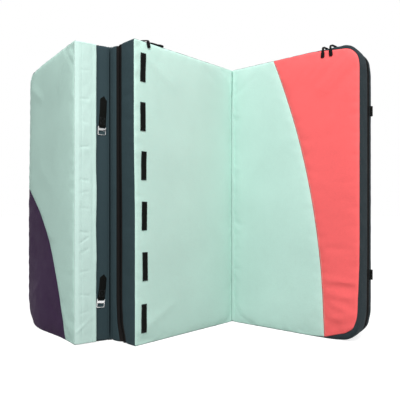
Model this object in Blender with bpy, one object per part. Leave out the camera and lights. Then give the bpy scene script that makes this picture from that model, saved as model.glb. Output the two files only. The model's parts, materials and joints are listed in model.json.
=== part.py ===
"""Folding bouldering crash pad, standing on its edge, half open.

Three foam panels in fabric covers are joined by two fabric hinges, one on the
back faces and one on the front faces, so the pad folds like a letter Z.
Each panel has its own frame: X along its width, Y from its front face to its
back face, Z up. Metres throughout.
"""

import math

import bmesh
import bpy
from mathutils import Vector

# Panels
PANEL_HEIGHT = 1.000
PANEL_WIDTH = 0.500
PANEL_THICKNESS = 0.120
FREE_CORNER_RADIUS = 0.085
HINGE_CORNER_RADIUS = 0.006
FREE_CORNER_STEPS = 8
HINGE_CORNER_STEPS = 2

# Covers and foam
FABRIC_THICKNESS = 0.0012
FOAM_LINING_GAP = 0.0006
CLOSED_CELL_THICKNESS = 0.020
FRONT_CROWN = 0.004
BACK_CROWN = 0.003
CROWN_ROLL_OFF = 0.120
CROWN_RING_SHARES = (0.0, 0.12, 0.35, 0.65, 1.0)
SEAT_GAP = 0.0003

# Colour blocks, measured on their panel from its hinge side and its foot
CORAL_TOP_REACH = 0.181
CORAL_FOOT_REACH = 0.381
CORAL_BULGE = 0.050
PURPLE_FOOT_REACH = 0.081
PURPLE_RISE = 0.535
PURPLE_BULGE = 0.080
COLOUR_CURVE_STEPS = 14
CUTTER_OVERRUN = 0.050

# Zips in the panel edges
ZIP_VISIBLE_WIDTH = 0.022
ZIP_TAPE_THICKNESS = 0.0006
ZIP_COIL_WIDTH = 0.006
ZIP_COIL_INSET = 0.0002
MIDDLE_ZIP_DEPTH = 0.074
LEFT_ZIP_DEPTH = 0.074
RIGHT_ZIP_DEPTH = 0.088
SLIDER_LENGTH = 0.014
SLIDER_WIDTH = 0.009
SLIDER_HEIGHT = 0.0026
SLIDER_BEVEL = 0.0008
SLIDER_LUG_RADIUS = 0.0012
SLIDER_LUG_LENGTH = 0.005
SLIDER_LUG_RISE = 0.0021
PULL_CORD_RADIUS = 0.0014
PULL_TAB_HALF_WIDTH = 0.0030
PULL_TAB_LENGTH = 0.016
PULL_FACE_GAP = 0.0012
PULL_TURN_RADIUS = 0.006
PULL_TURN_STEPS = 3
MIDDLE_PULL_DROP = 0.012
RIGHT_PULL_DROP = 0.027
LEFT_PULL_DROP = 0.020
MIDDLE_SLIDER_SETBACKS = (0.035, 0.115)
RIGHT_SLIDER_SETBACKS = (0.098, 0.127)
LEFT_SLIDER_SETBACKS = (0.120,)

# Fold axes, set off from the panel corners, and how far each panel is turned
REAR_FOLD_SIDE_OFFSET = 0.0050
REAR_FOLD_FACE_OFFSET = 0.0034
FRONT_FOLD_SIDE_OFFSET = 0.0020
FRONT_FOLD_FACE_OFFSET = 0.0045
HINGE_CLOTH_THICKNESS = 0.0010
HINGE_CLOTH_FOOT = 0.006
MIDDLE_TURN = math.radians(45.8)
LEFT_TURN = math.radians(-55.7)
RIGHT_TURN = math.radians(-40.9)

# Closing flap on the left panel and the hook strips it closes on
FLAP_LENGTH = 0.072
FLAP_FOOT = 0.010
FLAP_THICKNESS = 0.0010
FLAP_LINING_THICKNESS = 0.0006
FLAP_BEAD_RADIUS = 0.0012
FLAP_STAND_OFF = 0.0021
FLAP_RAMP_LENGTH = 0.012
FLAP_BEAD_STEPS = 10
FLAP_ROOT_ANGLE = math.radians(40)
FLAP_HEM = 0.004
STRIP_WIDTH = 0.025
STRIP_LENGTH = 0.094
STRIP_THICKNESS = 0.0012
STRIP_EDGE_DISTANCE = 0.042
STRIP_FIRST_CENTRE = 0.083
STRIP_LAST_BELOW_TOP = 0.0845
STRIP_COUNT = 6
STRIP_STATION_SHARES = (-1.0, -0.5, 0.0, 0.5, 1.0)

# Closing straps and their buckles, on the left panel's hinge side
WEBBING_WIDTH = 0.025
WEBBING_THICKNESS = 0.0014
STRAP_AXIS_STAND_OFF = 0.0015
STRAP_ROOT_SETBACK = 0.0050
STRAP_SEAM_LENGTH_SHARE = 0.6
UPPER_STRAP_BELOW_TOP = 0.162
UPPER_STRAP_LENGTH = 0.112
UPPER_STRAP_LEAN = math.radians(3)
LOWER_STRAP_ROOT_HEIGHT = 0.234
LOWER_STRAP_LENGTH = 0.090
LOWER_STRAP_LEAN = math.radians(6)
BUCKLE_WIDTH = 0.030
BUCKLE_HEIGHT = 0.030
BUCKLE_THICKNESS = 0.0026
BUCKLE_BAR = 0.0030
BUCKLE_RIM_BEVEL = 0.0006
BUCKLE_WEBBING_SLOT = 0.0035
BUCKLE_HOOK_SLOT = 0.0120

# Webbing tabs on the right panel's free edge
EDGE_TAB_HEIGHT = 0.034
EDGE_TAB_DEPTH = 0.020
EDGE_TAB_PROUD = 0.0060
EDGE_TAB_BEVEL = 0.0020
EDGE_TAB_BACK_MARGIN = 0.004
UPPER_TAB_BELOW_TOP = 0.215
LOWER_TAB_HEIGHT = 0.220

# Carrying straps on the right panel's back
SHOULDER_PAD_WIDTH = 0.060
SHOULDER_PAD_THICKNESS = 0.012
SHOULDER_PAD_STEPS = 10
SHOULDER_TAPER_SHARE = 0.35
SHOULDER_PAD_BELOW_TOP = 0.200
SHOULDER_PAD_LENGTH = 0.400
SHOULDER_TOP_SPREAD = 0.055
SHOULDER_END_SPREAD = 0.105
SHOULDER_BOW = 0.020
SHOULDER_ANCHOR_HEIGHT = 0.120
SHOULDER_ANCHOR_SPREAD = 0.150
SHOULDER_TO_WEBBING_GAP = 0.0006

SMOOTH_ANGLE = math.radians(30)

# Right-angled turn and full turn, for shapes worked out from angles
QUARTER_TURN = math.pi / 2
FULL_TURN = 2 * math.pi


# Helpers for materials, frames and objects

def material(name, colour, roughness, metallic=0.0):
    """A Principled material, made once and shared by name."""
    found = bpy.data.materials.get(name)
    if found:
        return found
    made = bpy.data.materials.new(name)
    made.use_nodes = True
    shader = made.node_tree.nodes["Principled BSDF"]
    shader.inputs["Base Color"].default_value = (*colour, 1.0)
    shader.inputs["Roughness"].default_value = roughness
    shader.inputs["Metallic"].default_value = metallic
    made.diffuse_color = (*colour, 1.0)
    return made


def mint_fabric():
    return material("mint_fabric", (0.58, 0.80, 0.72), 0.75)


def coral_fabric():
    return material("coral_fabric", (0.99, 0.16, 0.17), 0.75)


def purple_fabric():
    return material("purple_fabric", (0.050, 0.034, 0.060), 0.80)


def slate_fabric():
    return material("slate_fabric", (0.040, 0.067, 0.078), 0.80)


def black_webbing():
    return material("black_webbing", (0.012, 0.012, 0.013), 0.85)


def zip_tape_fabric():
    return material("zip_tape_fabric", (0.017, 0.014, 0.015), 0.80)


def black_plastic():
    return material("black_plastic", (0.015, 0.015, 0.016), 0.40)


def cast_alloy():
    return material("cast_alloy", (0.72, 0.72, 0.73), 0.30, 1.0)


def closed_cell_foam():
    return material("closed_cell_foam", (0.10, 0.10, 0.11), 0.95)


def open_cell_foam():
    return material("open_cell_foam", (0.70, 0.66, 0.48), 0.95)


def add_frame(name, location, turn=0.0, parent=None):
    """An empty that carries the pieces modelled in its own frame."""
    frame = bpy.data.objects.new(name, None)
    frame.location = location
    frame.rotation_euler = (0.0, 0.0, turn)
    frame.parent = parent
    bpy.context.scene.collection.objects.link(frame)
    return frame


def add_object(name, bm, finish, parent, pivot=None):
    """Turns a bmesh into an object whose origin is at pivot in its parent's frame."""
    bmesh.ops.recalc_face_normals(bm, faces=bm.faces)
    if pivot is not None:
        bmesh.ops.translate(bm, verts=bm.verts, vec=-Vector(pivot))
    mesh = bpy.data.meshes.new(name)
    bm.to_mesh(mesh)
    bm.free()
    mesh.shade_smooth()
    mesh.set_sharp_from_angle(angle=SMOOTH_ANGLE)
    mesh.materials.append(finish)
    obj = bpy.data.objects.new(name, mesh)
    obj.parent = parent
    if pivot is not None:
        obj.location = pivot
    bpy.context.scene.collection.objects.link(obj)
    return obj


# Mesh building shared by several pieces

def ring_of(bm, points):
    """New vertices at the points, as one ring."""
    return [bm.verts.new(point) for point in points]


def bridge(bm, first, second, closed=True):
    """Quads between two rings of the same count."""
    last = len(first) if closed else len(first) - 1
    for i in range(last):
        j = (i + 1) % len(first)
        bm.faces.new((first[i], first[j], second[j], second[i]))


def stacked_rings(rings):
    """A closed body through a list of point rings, capped at both ends."""
    bm = bmesh.new()
    loops = [ring_of(bm, points) for points in rings]
    for first, second in zip(loops, loops[1:]):
        bridge(bm, first, second)
    bm.faces.new(loops[0])
    bm.faces.new(loops[-1])
    return bm


def box_mesh(low, high):
    """A box between two corners."""
    bm = bmesh.new()
    bmesh.ops.create_cube(bm, size=1.0)
    centre = (Vector(low) + Vector(high)) / 2
    size = Vector(high) - Vector(low)
    bmesh.ops.scale(bm, verts=bm.verts, vec=size)
    bmesh.ops.translate(bm, verts=bm.verts, vec=centre)
    return bm


def bevel_edges(bm, edges, width, segments=1):
    bmesh.ops.recalc_face_normals(bm, faces=bm.faces)
    bmesh.ops.bevel(
        bm, geom=edges, offset=width, offset_type="OFFSET", segments=segments,
        profile=0.5, affect="EDGES", clamp_overlap=True, material=-1,
    )


def lofted_bar(stations, section):
    """A bar through stations of (centre, side, normal, half side, half normal).

    section lists the corners of its outline as shares of the two half sizes.
    """
    rings = []
    for centre, side, normal, half_side, half_normal in stations:
        rings.append([
            Vector(centre) + side * (s * half_side) + normal * (n * half_normal)
            for s, n in section
        ])
    return stacked_rings(rings)


FLAT_SECTION_SHARES = ((-1.0, -1.0), (1.0, -1.0), (1.0, 1.0), (-1.0, 1.0))
ROUND_SECTION_SIDES = 8
ROUND_SECTION_SHARES = tuple(
    (
        math.cos(FULL_TURN * i / ROUND_SECTION_SIDES),
        math.sin(FULL_TURN * i / ROUND_SECTION_SIDES),
    )
    for i in range(ROUND_SECTION_SIDES)
)
PADDED_SECTION_SHARES = (
    (-0.80, -1.0), (0.80, -1.0), (1.0, -0.4), (0.90, 0.55),
    (0.60, 1.0), (-0.60, 1.0), (-0.90, 0.55), (-1.0, -0.4),
)


# Panel outlines and layers

def corner_arc(centre, radius, start, steps):
    """Points of a quarter circle, counted anticlockwise from the start angle."""
    return [
        (
            centre[0] + radius * math.cos(start + QUARTER_TURN * i / steps),
            centre[1] + radius * math.sin(start + QUARTER_TURN * i / steps),
        )
        for i in range(steps + 1)
    ]


def panel_outline(free_radius, inset):
    """The panel's closed outline as (reach from the hinge side, height)."""
    steps = FREE_CORNER_STEPS if free_radius > HINGE_CORNER_RADIUS else HINGE_CORNER_STEPS
    inner_free = max(free_radius - inset, HINGE_CORNER_RADIUS)
    near = inset + HINGE_CORNER_RADIUS
    far = PANEL_WIDTH - inset - inner_free
    low_free, high_free = inset + inner_free, PANEL_HEIGHT - inset - inner_free
    low, high = inset + HINGE_CORNER_RADIUS, PANEL_HEIGHT - inset - HINGE_CORNER_RADIUS
    points = corner_arc((far, low_free), inner_free, -QUARTER_TURN, steps)
    points += corner_arc((far, high_free), inner_free, 0.0, steps)
    points += corner_arc((near, high), HINGE_CORNER_RADIUS, QUARTER_TURN, HINGE_CORNER_STEPS)
    points += corner_arc((near, low), HINGE_CORNER_RADIUS, math.pi, HINGE_CORNER_STEPS)
    return points


def edge_path(free_radius, inset):
    """The outline's open run: foot, free side and top, from hinge side to hinge side."""
    steps = FREE_CORNER_STEPS if free_radius > HINGE_CORNER_RADIUS else HINGE_CORNER_STEPS
    inner = max(free_radius - inset, HINGE_CORNER_RADIUS)
    far = PANEL_WIDTH - inset - inner
    points = [(0.0, inset)]
    points += corner_arc((far, inset + inner), inner, -QUARTER_TURN, steps)
    points += corner_arc((far, PANEL_HEIGHT - inset - inner), inner, 0.0, steps)
    points.append((0.0, PANEL_HEIGHT - inset))
    return points


def crown_share(inset):
    """How much of its full crown a face has at this distance from its edge."""
    left = 1.0 - min(inset / CROWN_ROLL_OFF, 1.0)
    return 1.0 - left * left


class Panel:
    """One foam panel: its frame, which way its width runs, and its corner radius."""

    def __init__(self, name, frame, way, free_radius, zip_depth):
        self.name = name
        self.frame = frame
        self.way = way
        self.free_radius = free_radius
        self.zip_depth = zip_depth

    def point(self, reach, depth, height):
        """A point in the panel's frame, reach counted from its hinge side."""
        return Vector((self.way * reach, depth, height))

    def ring(self, inset, depth):
        return [
            self.point(reach, depth, height)
            for reach, height in panel_outline(self.free_radius, inset)
        ]


def front_of(inset):
    return -FRONT_CROWN * crown_share(inset)


def back_of(inset):
    return PANEL_THICKNESS + BACK_CROWN * crown_share(inset)


def crowned_layer(panel, start_inset, front, back):
    """A layer between two depths, each a function of the distance from the edge."""
    insets = [
        start_inset + share * (CROWN_ROLL_OFF - start_inset)
        for share in CROWN_RING_SHARES
    ]
    rings = [panel.ring(inset, front(inset)) for inset in reversed(insets)]
    rings += [panel.ring(inset, back(inset)) for inset in insets]
    return stacked_rings(rings)


def flat_layer(panel, inset, front_depth, back_depth):
    return stacked_rings([panel.ring(inset, front_depth), panel.ring(inset, back_depth)])


def front_sheet(panel):
    return crowned_layer(panel, 0.0, front_of, lambda d: front_of(d) + FABRIC_THICKNESS)


def add_back_cover(panel):
    bm = crowned_layer(panel, 0.0, lambda d: back_of(d) - FABRIC_THICKNESS, back_of)
    add_object(f"{panel.name}_back_cover", bm, slate_fabric(), panel.frame)


def add_foams(panel):
    """Closed-cell sheets on both sides of an open-cell block."""
    inset = FABRIC_THICKNESS + FOAM_LINING_GAP
    skin = FABRIC_THICKNESS + SEAT_GAP
    top_end = CLOSED_CELL_THICKNESS
    base_start = PANEL_THICKNESS - CLOSED_CELL_THICKNESS
    top = crowned_layer(panel, inset, lambda d: front_of(d) + skin, lambda d: top_end)
    core = flat_layer(panel, inset, top_end + SEAT_GAP, base_start - SEAT_GAP)
    base = crowned_layer(panel, inset, lambda d: base_start, lambda d: back_of(d) - skin)
    add_object(f"{panel.name}_foam_top", top, closed_cell_foam(), panel.frame)
    add_object(f"{panel.name}_foam_core", core, open_cell_foam(), panel.frame)
    add_object(f"{panel.name}_foam_base", base, closed_cell_foam(), panel.frame)


def swept_edge(panel, profile):
    """A closed profile of (depth, inset) carried along the panel's open edge path."""
    bm = bmesh.new()
    runs = []
    for depth, inset in profile:
        path = edge_path(panel.free_radius, inset)
        runs.append(ring_of(bm, [panel.point(r, depth, h) for r, h in path]))
    for first, second in zip(runs, runs[1:] + runs[:1]):
        bridge(bm, first, second, closed=False)
    bm.faces.new([run[0] for run in runs])
    bm.faces.new([run[-1] for run in runs])
    return bm


def zip_edges(panel):
    """The depths where the zip's visible band begins and ends."""
    half = ZIP_VISIBLE_WIDTH / 2
    return panel.zip_depth - half, panel.zip_depth + half


def add_edge_bands(panel):
    """The two fabric walls of the edge, in front of the zip and behind it."""
    zip_front, zip_back = zip_edges(panel)
    skin = FABRIC_THICKNESS + SEAT_GAP
    spans = (
        ("gusset_front", skin, zip_front - SEAT_GAP),
        ("gusset_back", zip_back + SEAT_GAP, PANEL_THICKNESS - skin),
    )
    for part_name, start, end in spans:
        profile = (
            (start, 0.0), (end, 0.0), (end, FABRIC_THICKNESS), (start, FABRIC_THICKNESS),
        )
        bm = swept_edge(panel, profile)
        add_object(f"{panel.name}_{part_name}", bm, slate_fabric(), panel.frame)


def add_zip_tape(panel):
    """The zip's tape with its raised coil."""
    start, end = zip_edges(panel)
    coil_start = panel.zip_depth - ZIP_COIL_WIDTH / 2
    coil_end = panel.zip_depth + ZIP_COIL_WIDTH / 2
    inner = FABRIC_THICKNESS + SEAT_GAP
    outer = inner - ZIP_TAPE_THICKNESS
    profile = (
        (start, outer), (coil_start, outer), (coil_start, ZIP_COIL_INSET),
        (coil_end, ZIP_COIL_INSET), (coil_end, outer), (end, outer),
        (end, inner), (start, inner),
    )
    bm = swept_edge(panel, profile)
    add_object(f"{panel.name}_zip_tape", bm, zip_tape_fabric(), panel.frame)


def add_hinge_gusset(panel):
    """The plain fabric wall on the hinge side, between the ends of the edge bands."""
    skin = FABRIC_THICKNESS + SEAT_GAP
    corners = (
        panel.point(0.0, skin, skin),
        panel.point(FABRIC_THICKNESS, PANEL_THICKNESS - skin, PANEL_HEIGHT - skin),
    )
    low = Vector([min(a, b) for a, b in zip(*corners)])
    high = Vector([max(a, b) for a, b in zip(*corners)])
    bm = box_mesh(low, high)
    add_object(f"{panel.name}_gusset_hinge", bm, slate_fabric(), panel.frame)


# Colour blocks

def bulged_curve(start, end, bulge):
    """Points of a shallow arc from start to end that stands out by bulge to the left."""
    run = Vector(end) - Vector(start)
    across = Vector((-run.y, run.x)).normalized()
    points = []
    for i in range(COLOUR_CURVE_STEPS + 1):
        share = i / COLOUR_CURVE_STEPS
        height = bulge * (1.0 - (2.0 * share - 1.0) ** 2)
        points.append(Vector(start) + run * share + across * height)
    return points


def shifted(points, distance):
    """The curve moved to its left by a distance."""
    moved = []
    for i, point in enumerate(points):
        ahead = points[min(i + 1, len(points) - 1)]
        behind = points[max(i - 1, 0)]
        along = (ahead - behind).normalized()
        moved.append(point + Vector((-along.y, along.x)) * distance)
    return moved


def extended(points, distance):
    """The curve with both ends lengthened along their own direction."""
    first = (points[0] - points[1]).normalized() * distance
    last = (points[-1] - points[-2]).normalized() * distance
    return [points[0] + first] + points + [points[-1] + last]


def add_cutter(name, panel, outline):
    """A cutter prism over an outline of (reach, height), through the panel's face."""
    bm = stacked_rings([
        [panel.point(point[0], depth, point[1]) for point in outline]
        for depth in (-CUTTER_OVERRUN, CUTTER_OVERRUN)
    ])
    cutter = add_object(name, bm, mint_fabric(), panel.frame)
    cutter.hide_render = True
    cutter.display_type = "WIRE"
    return cutter


def add_split_face(panel, block_name, block_finish, curve, closing_points):
    """A face in two fabrics, cut along a curve with a seam gap between them."""
    curve = extended(curve, CUTTER_OVERRUN)
    kept = add_object(f"{panel.name}_face_mint", front_sheet(panel), mint_fabric(), panel.frame)
    block = add_object(block_name, front_sheet(panel), block_finish, panel.frame)
    jobs = (
        (kept, "DIFFERENCE", shifted(curve, SEAT_GAP / 2)),
        (block, "INTERSECT", shifted(curve, -SEAT_GAP / 2)),
    )
    for obj, operation, line in jobs:
        cutter = add_cutter(f"{obj.name}_cutter", panel, line + closing_points)
        cut = obj.modifiers.new("colour_block", "BOOLEAN")
        cut.operation = operation
        cut.object = cutter


def add_right_face(panel):
    """Mint by the hinge, coral towards the free side."""
    curve = bulged_curve(
        (CORAL_FOOT_REACH, 0.0), (CORAL_TOP_REACH, PANEL_HEIGHT), -CORAL_BULGE
    )
    beyond = PANEL_WIDTH + CUTTER_OVERRUN
    corners = [
        Vector((beyond, PANEL_HEIGHT + CUTTER_OVERRUN)),
        Vector((beyond, -CUTTER_OVERRUN)),
    ]
    add_split_face(panel, "right_face_coral", coral_fabric(), curve, corners)


def add_left_face(panel):
    """Mint above, purple in the lower free corner."""
    curve = bulged_curve((PURPLE_FOOT_REACH, 0.0), (PANEL_WIDTH, PURPLE_RISE), PURPLE_BULGE)
    corners = [Vector((PANEL_WIDTH + CUTTER_OVERRUN, -CUTTER_OVERRUN))]
    add_split_face(panel, "left_face_purple", purple_fabric(), curve, corners)


# Zip sliders and pulls

def slider_seat_height():
    return PANEL_HEIGHT - ZIP_COIL_INSET + SEAT_GAP


def add_slider(panel, name, reach):
    """A zip slider on the top edge, with a lug that its pull turns on."""
    centre = panel.point(reach, panel.zip_depth, slider_seat_height())
    half = Vector((SLIDER_LENGTH / 2, SLIDER_WIDTH / 2, 0.0))
    bm = box_mesh(centre - half, centre + half + Vector((0.0, 0.0, SLIDER_HEIGHT)))
    bevel_edges(bm, bm.edges[:], SLIDER_BEVEL)
    body = add_object(name, bm, black_plastic(), panel.frame, centre)
    lug = add_slider_lug(f"{name}_lug", panel, centre)
    join = body.modifiers.new("lug", "BOOLEAN")
    join.operation = "UNION"
    join.object = lug
    return centre + Vector((0.0, 0.0, SLIDER_HEIGHT + SLIDER_LUG_RISE))


def add_slider_lug(name, panel, slider_centre):
    """The round-topped lug, sunk into the slider so that the two join."""
    axis_height = slider_centre.z + SLIDER_HEIGHT + SLIDER_LUG_RISE
    foot_height = slider_centre.z + SLIDER_HEIGHT / 2
    arc = corner_arc((0.0, axis_height), SLIDER_LUG_RADIUS, 0.0, HINGE_CORNER_STEPS)
    arc += corner_arc((0.0, axis_height), SLIDER_LUG_RADIUS, QUARTER_TURN, HINGE_CORNER_STEPS)[1:]
    outline = [(SLIDER_LUG_RADIUS, foot_height)] + arc + [(-SLIDER_LUG_RADIUS, foot_height)]
    bm = stacked_rings([
        [Vector((slider_centre.x + side * SLIDER_LUG_LENGTH / 2, slider_centre.y + y, z))
         for y, z in outline]
        for side in (-1.0, 1.0)
    ])
    lug = add_object(name, bm, black_plastic(), panel.frame, slider_centre)
    lug.hide_render = True
    lug.display_type = "WIRE"
    return lug


def add_pull(panel, name, axis_point, drop):
    """A cord pull that lies over the top edge and hangs down the face with a moulded end."""
    side = Vector((1.0, 0.0, 0.0))
    radius = PULL_CORD_RADIUS
    hang_depth = -PULL_FACE_GAP - FRONT_CROWN / 2 - radius
    turn_centre = (hang_depth + PULL_TURN_RADIUS, axis_point.z - PULL_TURN_RADIUS)
    start_depth = axis_point.y - SLIDER_LUG_RADIUS - SEAT_GAP
    stations = [(start_depth, axis_point.z, QUARTER_TURN, radius, SLIDER_LUG_RADIUS - SEAT_GAP)]
    for i in range(PULL_TURN_STEPS + 1):
        angle = QUARTER_TURN * (1.0 + i / PULL_TURN_STEPS)
        depth = turn_centre[0] + PULL_TURN_RADIUS * math.cos(angle)
        height = turn_centre[1] + PULL_TURN_RADIUS * math.sin(angle)
        stations.append((depth, height, angle, radius, radius))
    end_height = PANEL_HEIGHT - drop
    tab_start = end_height + PULL_TAB_LENGTH
    if tab_start < turn_centre[1]:
        stations.append((hang_depth, tab_start, math.pi, radius, radius))
    shoulder = min(tab_start, turn_centre[1]) - radius
    stations.append((hang_depth, shoulder, math.pi, PULL_TAB_HALF_WIDTH, radius))
    stations.append((hang_depth, end_height, math.pi, PULL_TAB_HALF_WIDTH, radius))
    bars = [
        (Vector((axis_point.x, depth, height)), side,
         Vector((0.0, math.cos(angle), math.sin(angle))), half_side, half_normal)
        for depth, height, angle, half_side, half_normal in stations
    ]
    bm = lofted_bar(bars, ROUND_SECTION_SHARES)
    add_object(name, bm, black_plastic(), panel.frame, axis_point)


def add_zip_hardware(panel, setbacks, drop):
    """The sliders and pulls of one zip, set back from the free side and numbered from it."""
    for number, setback in enumerate(setbacks, start=1):
        name = f"{panel.name}_zip_slider_{number}"
        axis_point = add_slider(panel, name, PANEL_WIDTH - setback)
        add_pull(panel, f"{panel.name}_zip_pull_{number}", axis_point, drop)


# Fabric hinges

def hinge_cloth(corner_a, corner_b):
    """A thin full-height strip between two panel corners, in the middle panel's frame."""
    a, b = Vector(corner_a), Vector(corner_b)
    along = (b - a).normalized()
    across = Vector((-along.y, along.x, 0.0))
    start, end = a + along * SEAT_GAP, b - along * SEAT_GAP
    half = across * HINGE_CLOTH_THICKNESS / 2
    outline = (start - half, end - half, end + half, start + half)
    return stacked_rings([
        [Vector((p.x, p.y, height)) for p in outline]
        for height in (HINGE_CLOTH_FOOT, PANEL_HEIGHT - HINGE_CLOTH_FOOT)
    ])


def turned(x, y, turn):
    """A vector of the XY plane turned about Z."""
    return Vector((
        x * math.cos(turn) - y * math.sin(turn),
        x * math.sin(turn) + y * math.cos(turn),
        0.0,
    ))


# Closing flap and strips

def flap_axis(panel):
    """The flap turns on a bead sewn along the panel's front hinge-side corner."""
    set_off = (FLAP_BEAD_RADIUS + SEAT_GAP) * math.sqrt(0.5)
    return Vector((set_off, -set_off, 0.0))


def add_flap(panel):
    """A full-height flap that hangs over the hinge-side gusset."""
    axis = flap_axis(panel)
    inner = FLAP_STAND_OFF + STRIP_THICKNESS + FLAP_LINING_THICKNESS + SEAT_GAP
    outer = inner + FLAP_THICKNESS
    outline = [(FLAP_BEAD_RADIUS, 0.0), (outer, FLAP_RAMP_LENGTH), (outer, FLAP_LENGTH)]
    outline += [(inner, FLAP_LENGTH), (inner, FLAP_RAMP_LENGTH)]
    sweep = FULL_TURN - FLAP_ROOT_ANGLE
    for i in range(FLAP_BEAD_STEPS):
        angle = FLAP_ROOT_ANGLE + sweep * i / FLAP_BEAD_STEPS
        outline.append((FLAP_BEAD_RADIUS * math.cos(angle), FLAP_BEAD_RADIUS * math.sin(angle)))
    heights = (FLAP_FOOT, PANEL_HEIGHT - FLAP_FOOT)
    bm = stacked_rings([
        [Vector((axis.x + x, axis.y + y, height)) for x, y in outline] for height in heights
    ])
    add_object("closing_flap", bm, mint_fabric(), panel.frame, axis)


def strip_centres():
    """Heights of the strips, spread evenly between the lowest and the highest."""
    pitch = (PANEL_HEIGHT - STRIP_LAST_BELOW_TOP - STRIP_FIRST_CENTRE) / (STRIP_COUNT - 1)
    return [STRIP_FIRST_CENTRE + pitch * i for i in range(STRIP_COUNT)]


def add_flap_lining(panel):
    """The flap's lining, with its loop pads raised on the side that meets the hook strips."""
    axis = flap_axis(panel)
    pad = FLAP_STAND_OFF
    low = FLAP_STAND_OFF + STRIP_THICKNESS
    high = low + FLAP_LINING_THICKNESS
    start, end = FLAP_RAMP_LENGTH + FLAP_HEM, FLAP_LENGTH - FLAP_HEM
    pad_start = STRIP_EDGE_DISTANCE - STRIP_WIDTH / 2
    pad_end = STRIP_EDGE_DISTANCE + STRIP_WIDTH / 2
    bm = bmesh.new()
    heights = [FLAP_FOOT + FLAP_HEM]
    for centre in strip_centres():
        heights += [centre - STRIP_LENGTH / 2, centre + STRIP_LENGTH / 2]
    heights.append(PANEL_HEIGHT - FLAP_FOOT - FLAP_HEM)
    depths = (start, pad_start, pad_end, end)
    grid = [
        [bm.verts.new((axis.x + low, axis.y + depth, height)) for depth in depths]
        for height in heights
    ]
    pads = []
    for row, (lower, upper) in enumerate(zip(grid, grid[1:])):
        for column in range(len(depths) - 1):
            corners = (lower[column], lower[column + 1], upper[column + 1], upper[column])
            face = bm.faces.new(corners)
            if column == 1 and row % 2 == 1:
                pads.append(face)
    sheet = bmesh.ops.extrude_face_region(bm, geom=bm.faces[:])
    back = [item for item in sheet["geom"] if isinstance(item, bmesh.types.BMVert)]
    bmesh.ops.translate(bm, verts=back, vec=(high - low, 0.0, 0.0))
    for face in pads:
        raised = bmesh.ops.extrude_discrete_faces(bm, faces=[face])["faces"][0]
        bmesh.ops.translate(bm, verts=raised.verts[:], vec=(pad - low, 0.0, 0.0))
    add_object("flap_loop_lining", bm, black_webbing(), panel.frame, axis)


def add_hook_strips(panel):
    """The strips on the middle panel's face, which follow its crown."""
    reach = PANEL_WIDTH - STRIP_EDGE_DISTANCE
    for number, centre in enumerate(strip_centres(), start=1):
        half_width, half_length = STRIP_WIDTH / 2, STRIP_LENGTH / 2
        rings = []
        for side in STRIP_STATION_SHARES:
            at = reach + side * half_width
            seat = front_of(PANEL_WIDTH - at) - SEAT_GAP
            rings.append([
                panel.point(at, seat, centre - half_length),
                panel.point(at, seat, centre + half_length),
                panel.point(at, seat - STRIP_THICKNESS, centre + half_length),
                panel.point(at, seat - STRIP_THICKNESS, centre - half_length),
            ])
        add_object(f"hook_strip_{number}", stacked_rings(rings), black_webbing(), panel.frame)


# Closing straps and buckles

def add_strap(panel, name, top, length, lean):
    """Webbing that hangs by the gusset, sewn in along the panel's back corner.

    Gives the middle of its lower end and the direction that it hangs in.
    """
    normal = Vector((1.0, 0.0, 0.0))
    along = Vector((0.0, -math.sin(lean), -math.cos(lean)))
    side = normal.cross(along)
    axis = Vector((STRAP_AXIS_STAND_OFF, PANEL_THICKNESS - STRAP_ROOT_SETBACK, top))
    half_width = WEBBING_WIDTH / 2
    start = axis - Vector((0.0, half_width * math.cos(lean), 0.0))
    stations = [
        (start + along * length * share, side, normal, half_width, WEBBING_THICKNESS / 2)
        for share in (0.0, STRAP_SEAM_LENGTH_SHARE, 1.0)
    ]
    bm = lofted_bar(stations, FLAT_SECTION_SHARES)
    add_object(name, bm, black_webbing(), panel.frame, axis)
    return start + along * length, along


def add_buckle(panel, name, strap_end, along):
    """A flat alloy buckle of two slots, turning on the bar that holds the strap's end."""
    normal = Vector((1.0, 0.0, 0.0))
    side = normal.cross(along)
    rise = (BUCKLE_THICKNESS - WEBBING_THICKNESS) / 2
    axis = strap_end + along * (SEAT_GAP + BUCKLE_BAR / 2) + normal * rise
    start = -BUCKLE_BAR / 2
    end = start + BUCKLE_HEIGHT
    hook_start = end - BUCKLE_BAR - BUCKLE_HOOK_SLOT
    webbing_start = start + BUCKLE_BAR
    inner = BUCKLE_WIDTH / 2 - BUCKLE_BAR
    half_thickness = BUCKLE_THICKNESS / 2

    def prism(a_start, a_end, half, low, high):
        corners = ((a_start, -half), (a_start, half), (a_end, half), (a_end, -half))
        return stacked_rings([
            [axis + along * a + side * s + normal * n for a, s in corners] for n in (low, high)
        ])

    frame = prism(start, end, BUCKLE_WIDTH / 2, -half_thickness, half_thickness)
    upright = [e for e in frame.edges if abs((e.verts[0].co - e.verts[1].co).normalized().x) > 0.5]
    bevel_edges(frame, upright, BUCKLE_BAR, HINGE_CORNER_STEPS)
    rims = [e for e in frame.edges if abs((e.verts[0].co - e.verts[1].co).normalized().x) < 0.5]
    bevel_edges(frame, rims, BUCKLE_RIM_BEVEL)
    body = add_object(name, frame, cast_alloy(), panel.frame, axis)
    slots = (
        (webbing_start, webbing_start + BUCKLE_WEBBING_SLOT),
        (hook_start, hook_start + BUCKLE_HOOK_SLOT),
    )
    for number, (slot_start, slot_end) in enumerate(slots, start=1):
        bm = prism(slot_start, slot_end, inner, -BUCKLE_WIDTH, BUCKLE_WIDTH)
        cutter = add_object(f"{name}_slot_{number}", bm, cast_alloy(), panel.frame)
        cutter.hide_render = True
        cutter.display_type = "WIRE"
        cut = body.modifiers.new(f"slot_{number}", "BOOLEAN")
        cut.operation = "DIFFERENCE"
        cut.object = cutter


# Webbing tabs and carrying straps on the right panel

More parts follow.
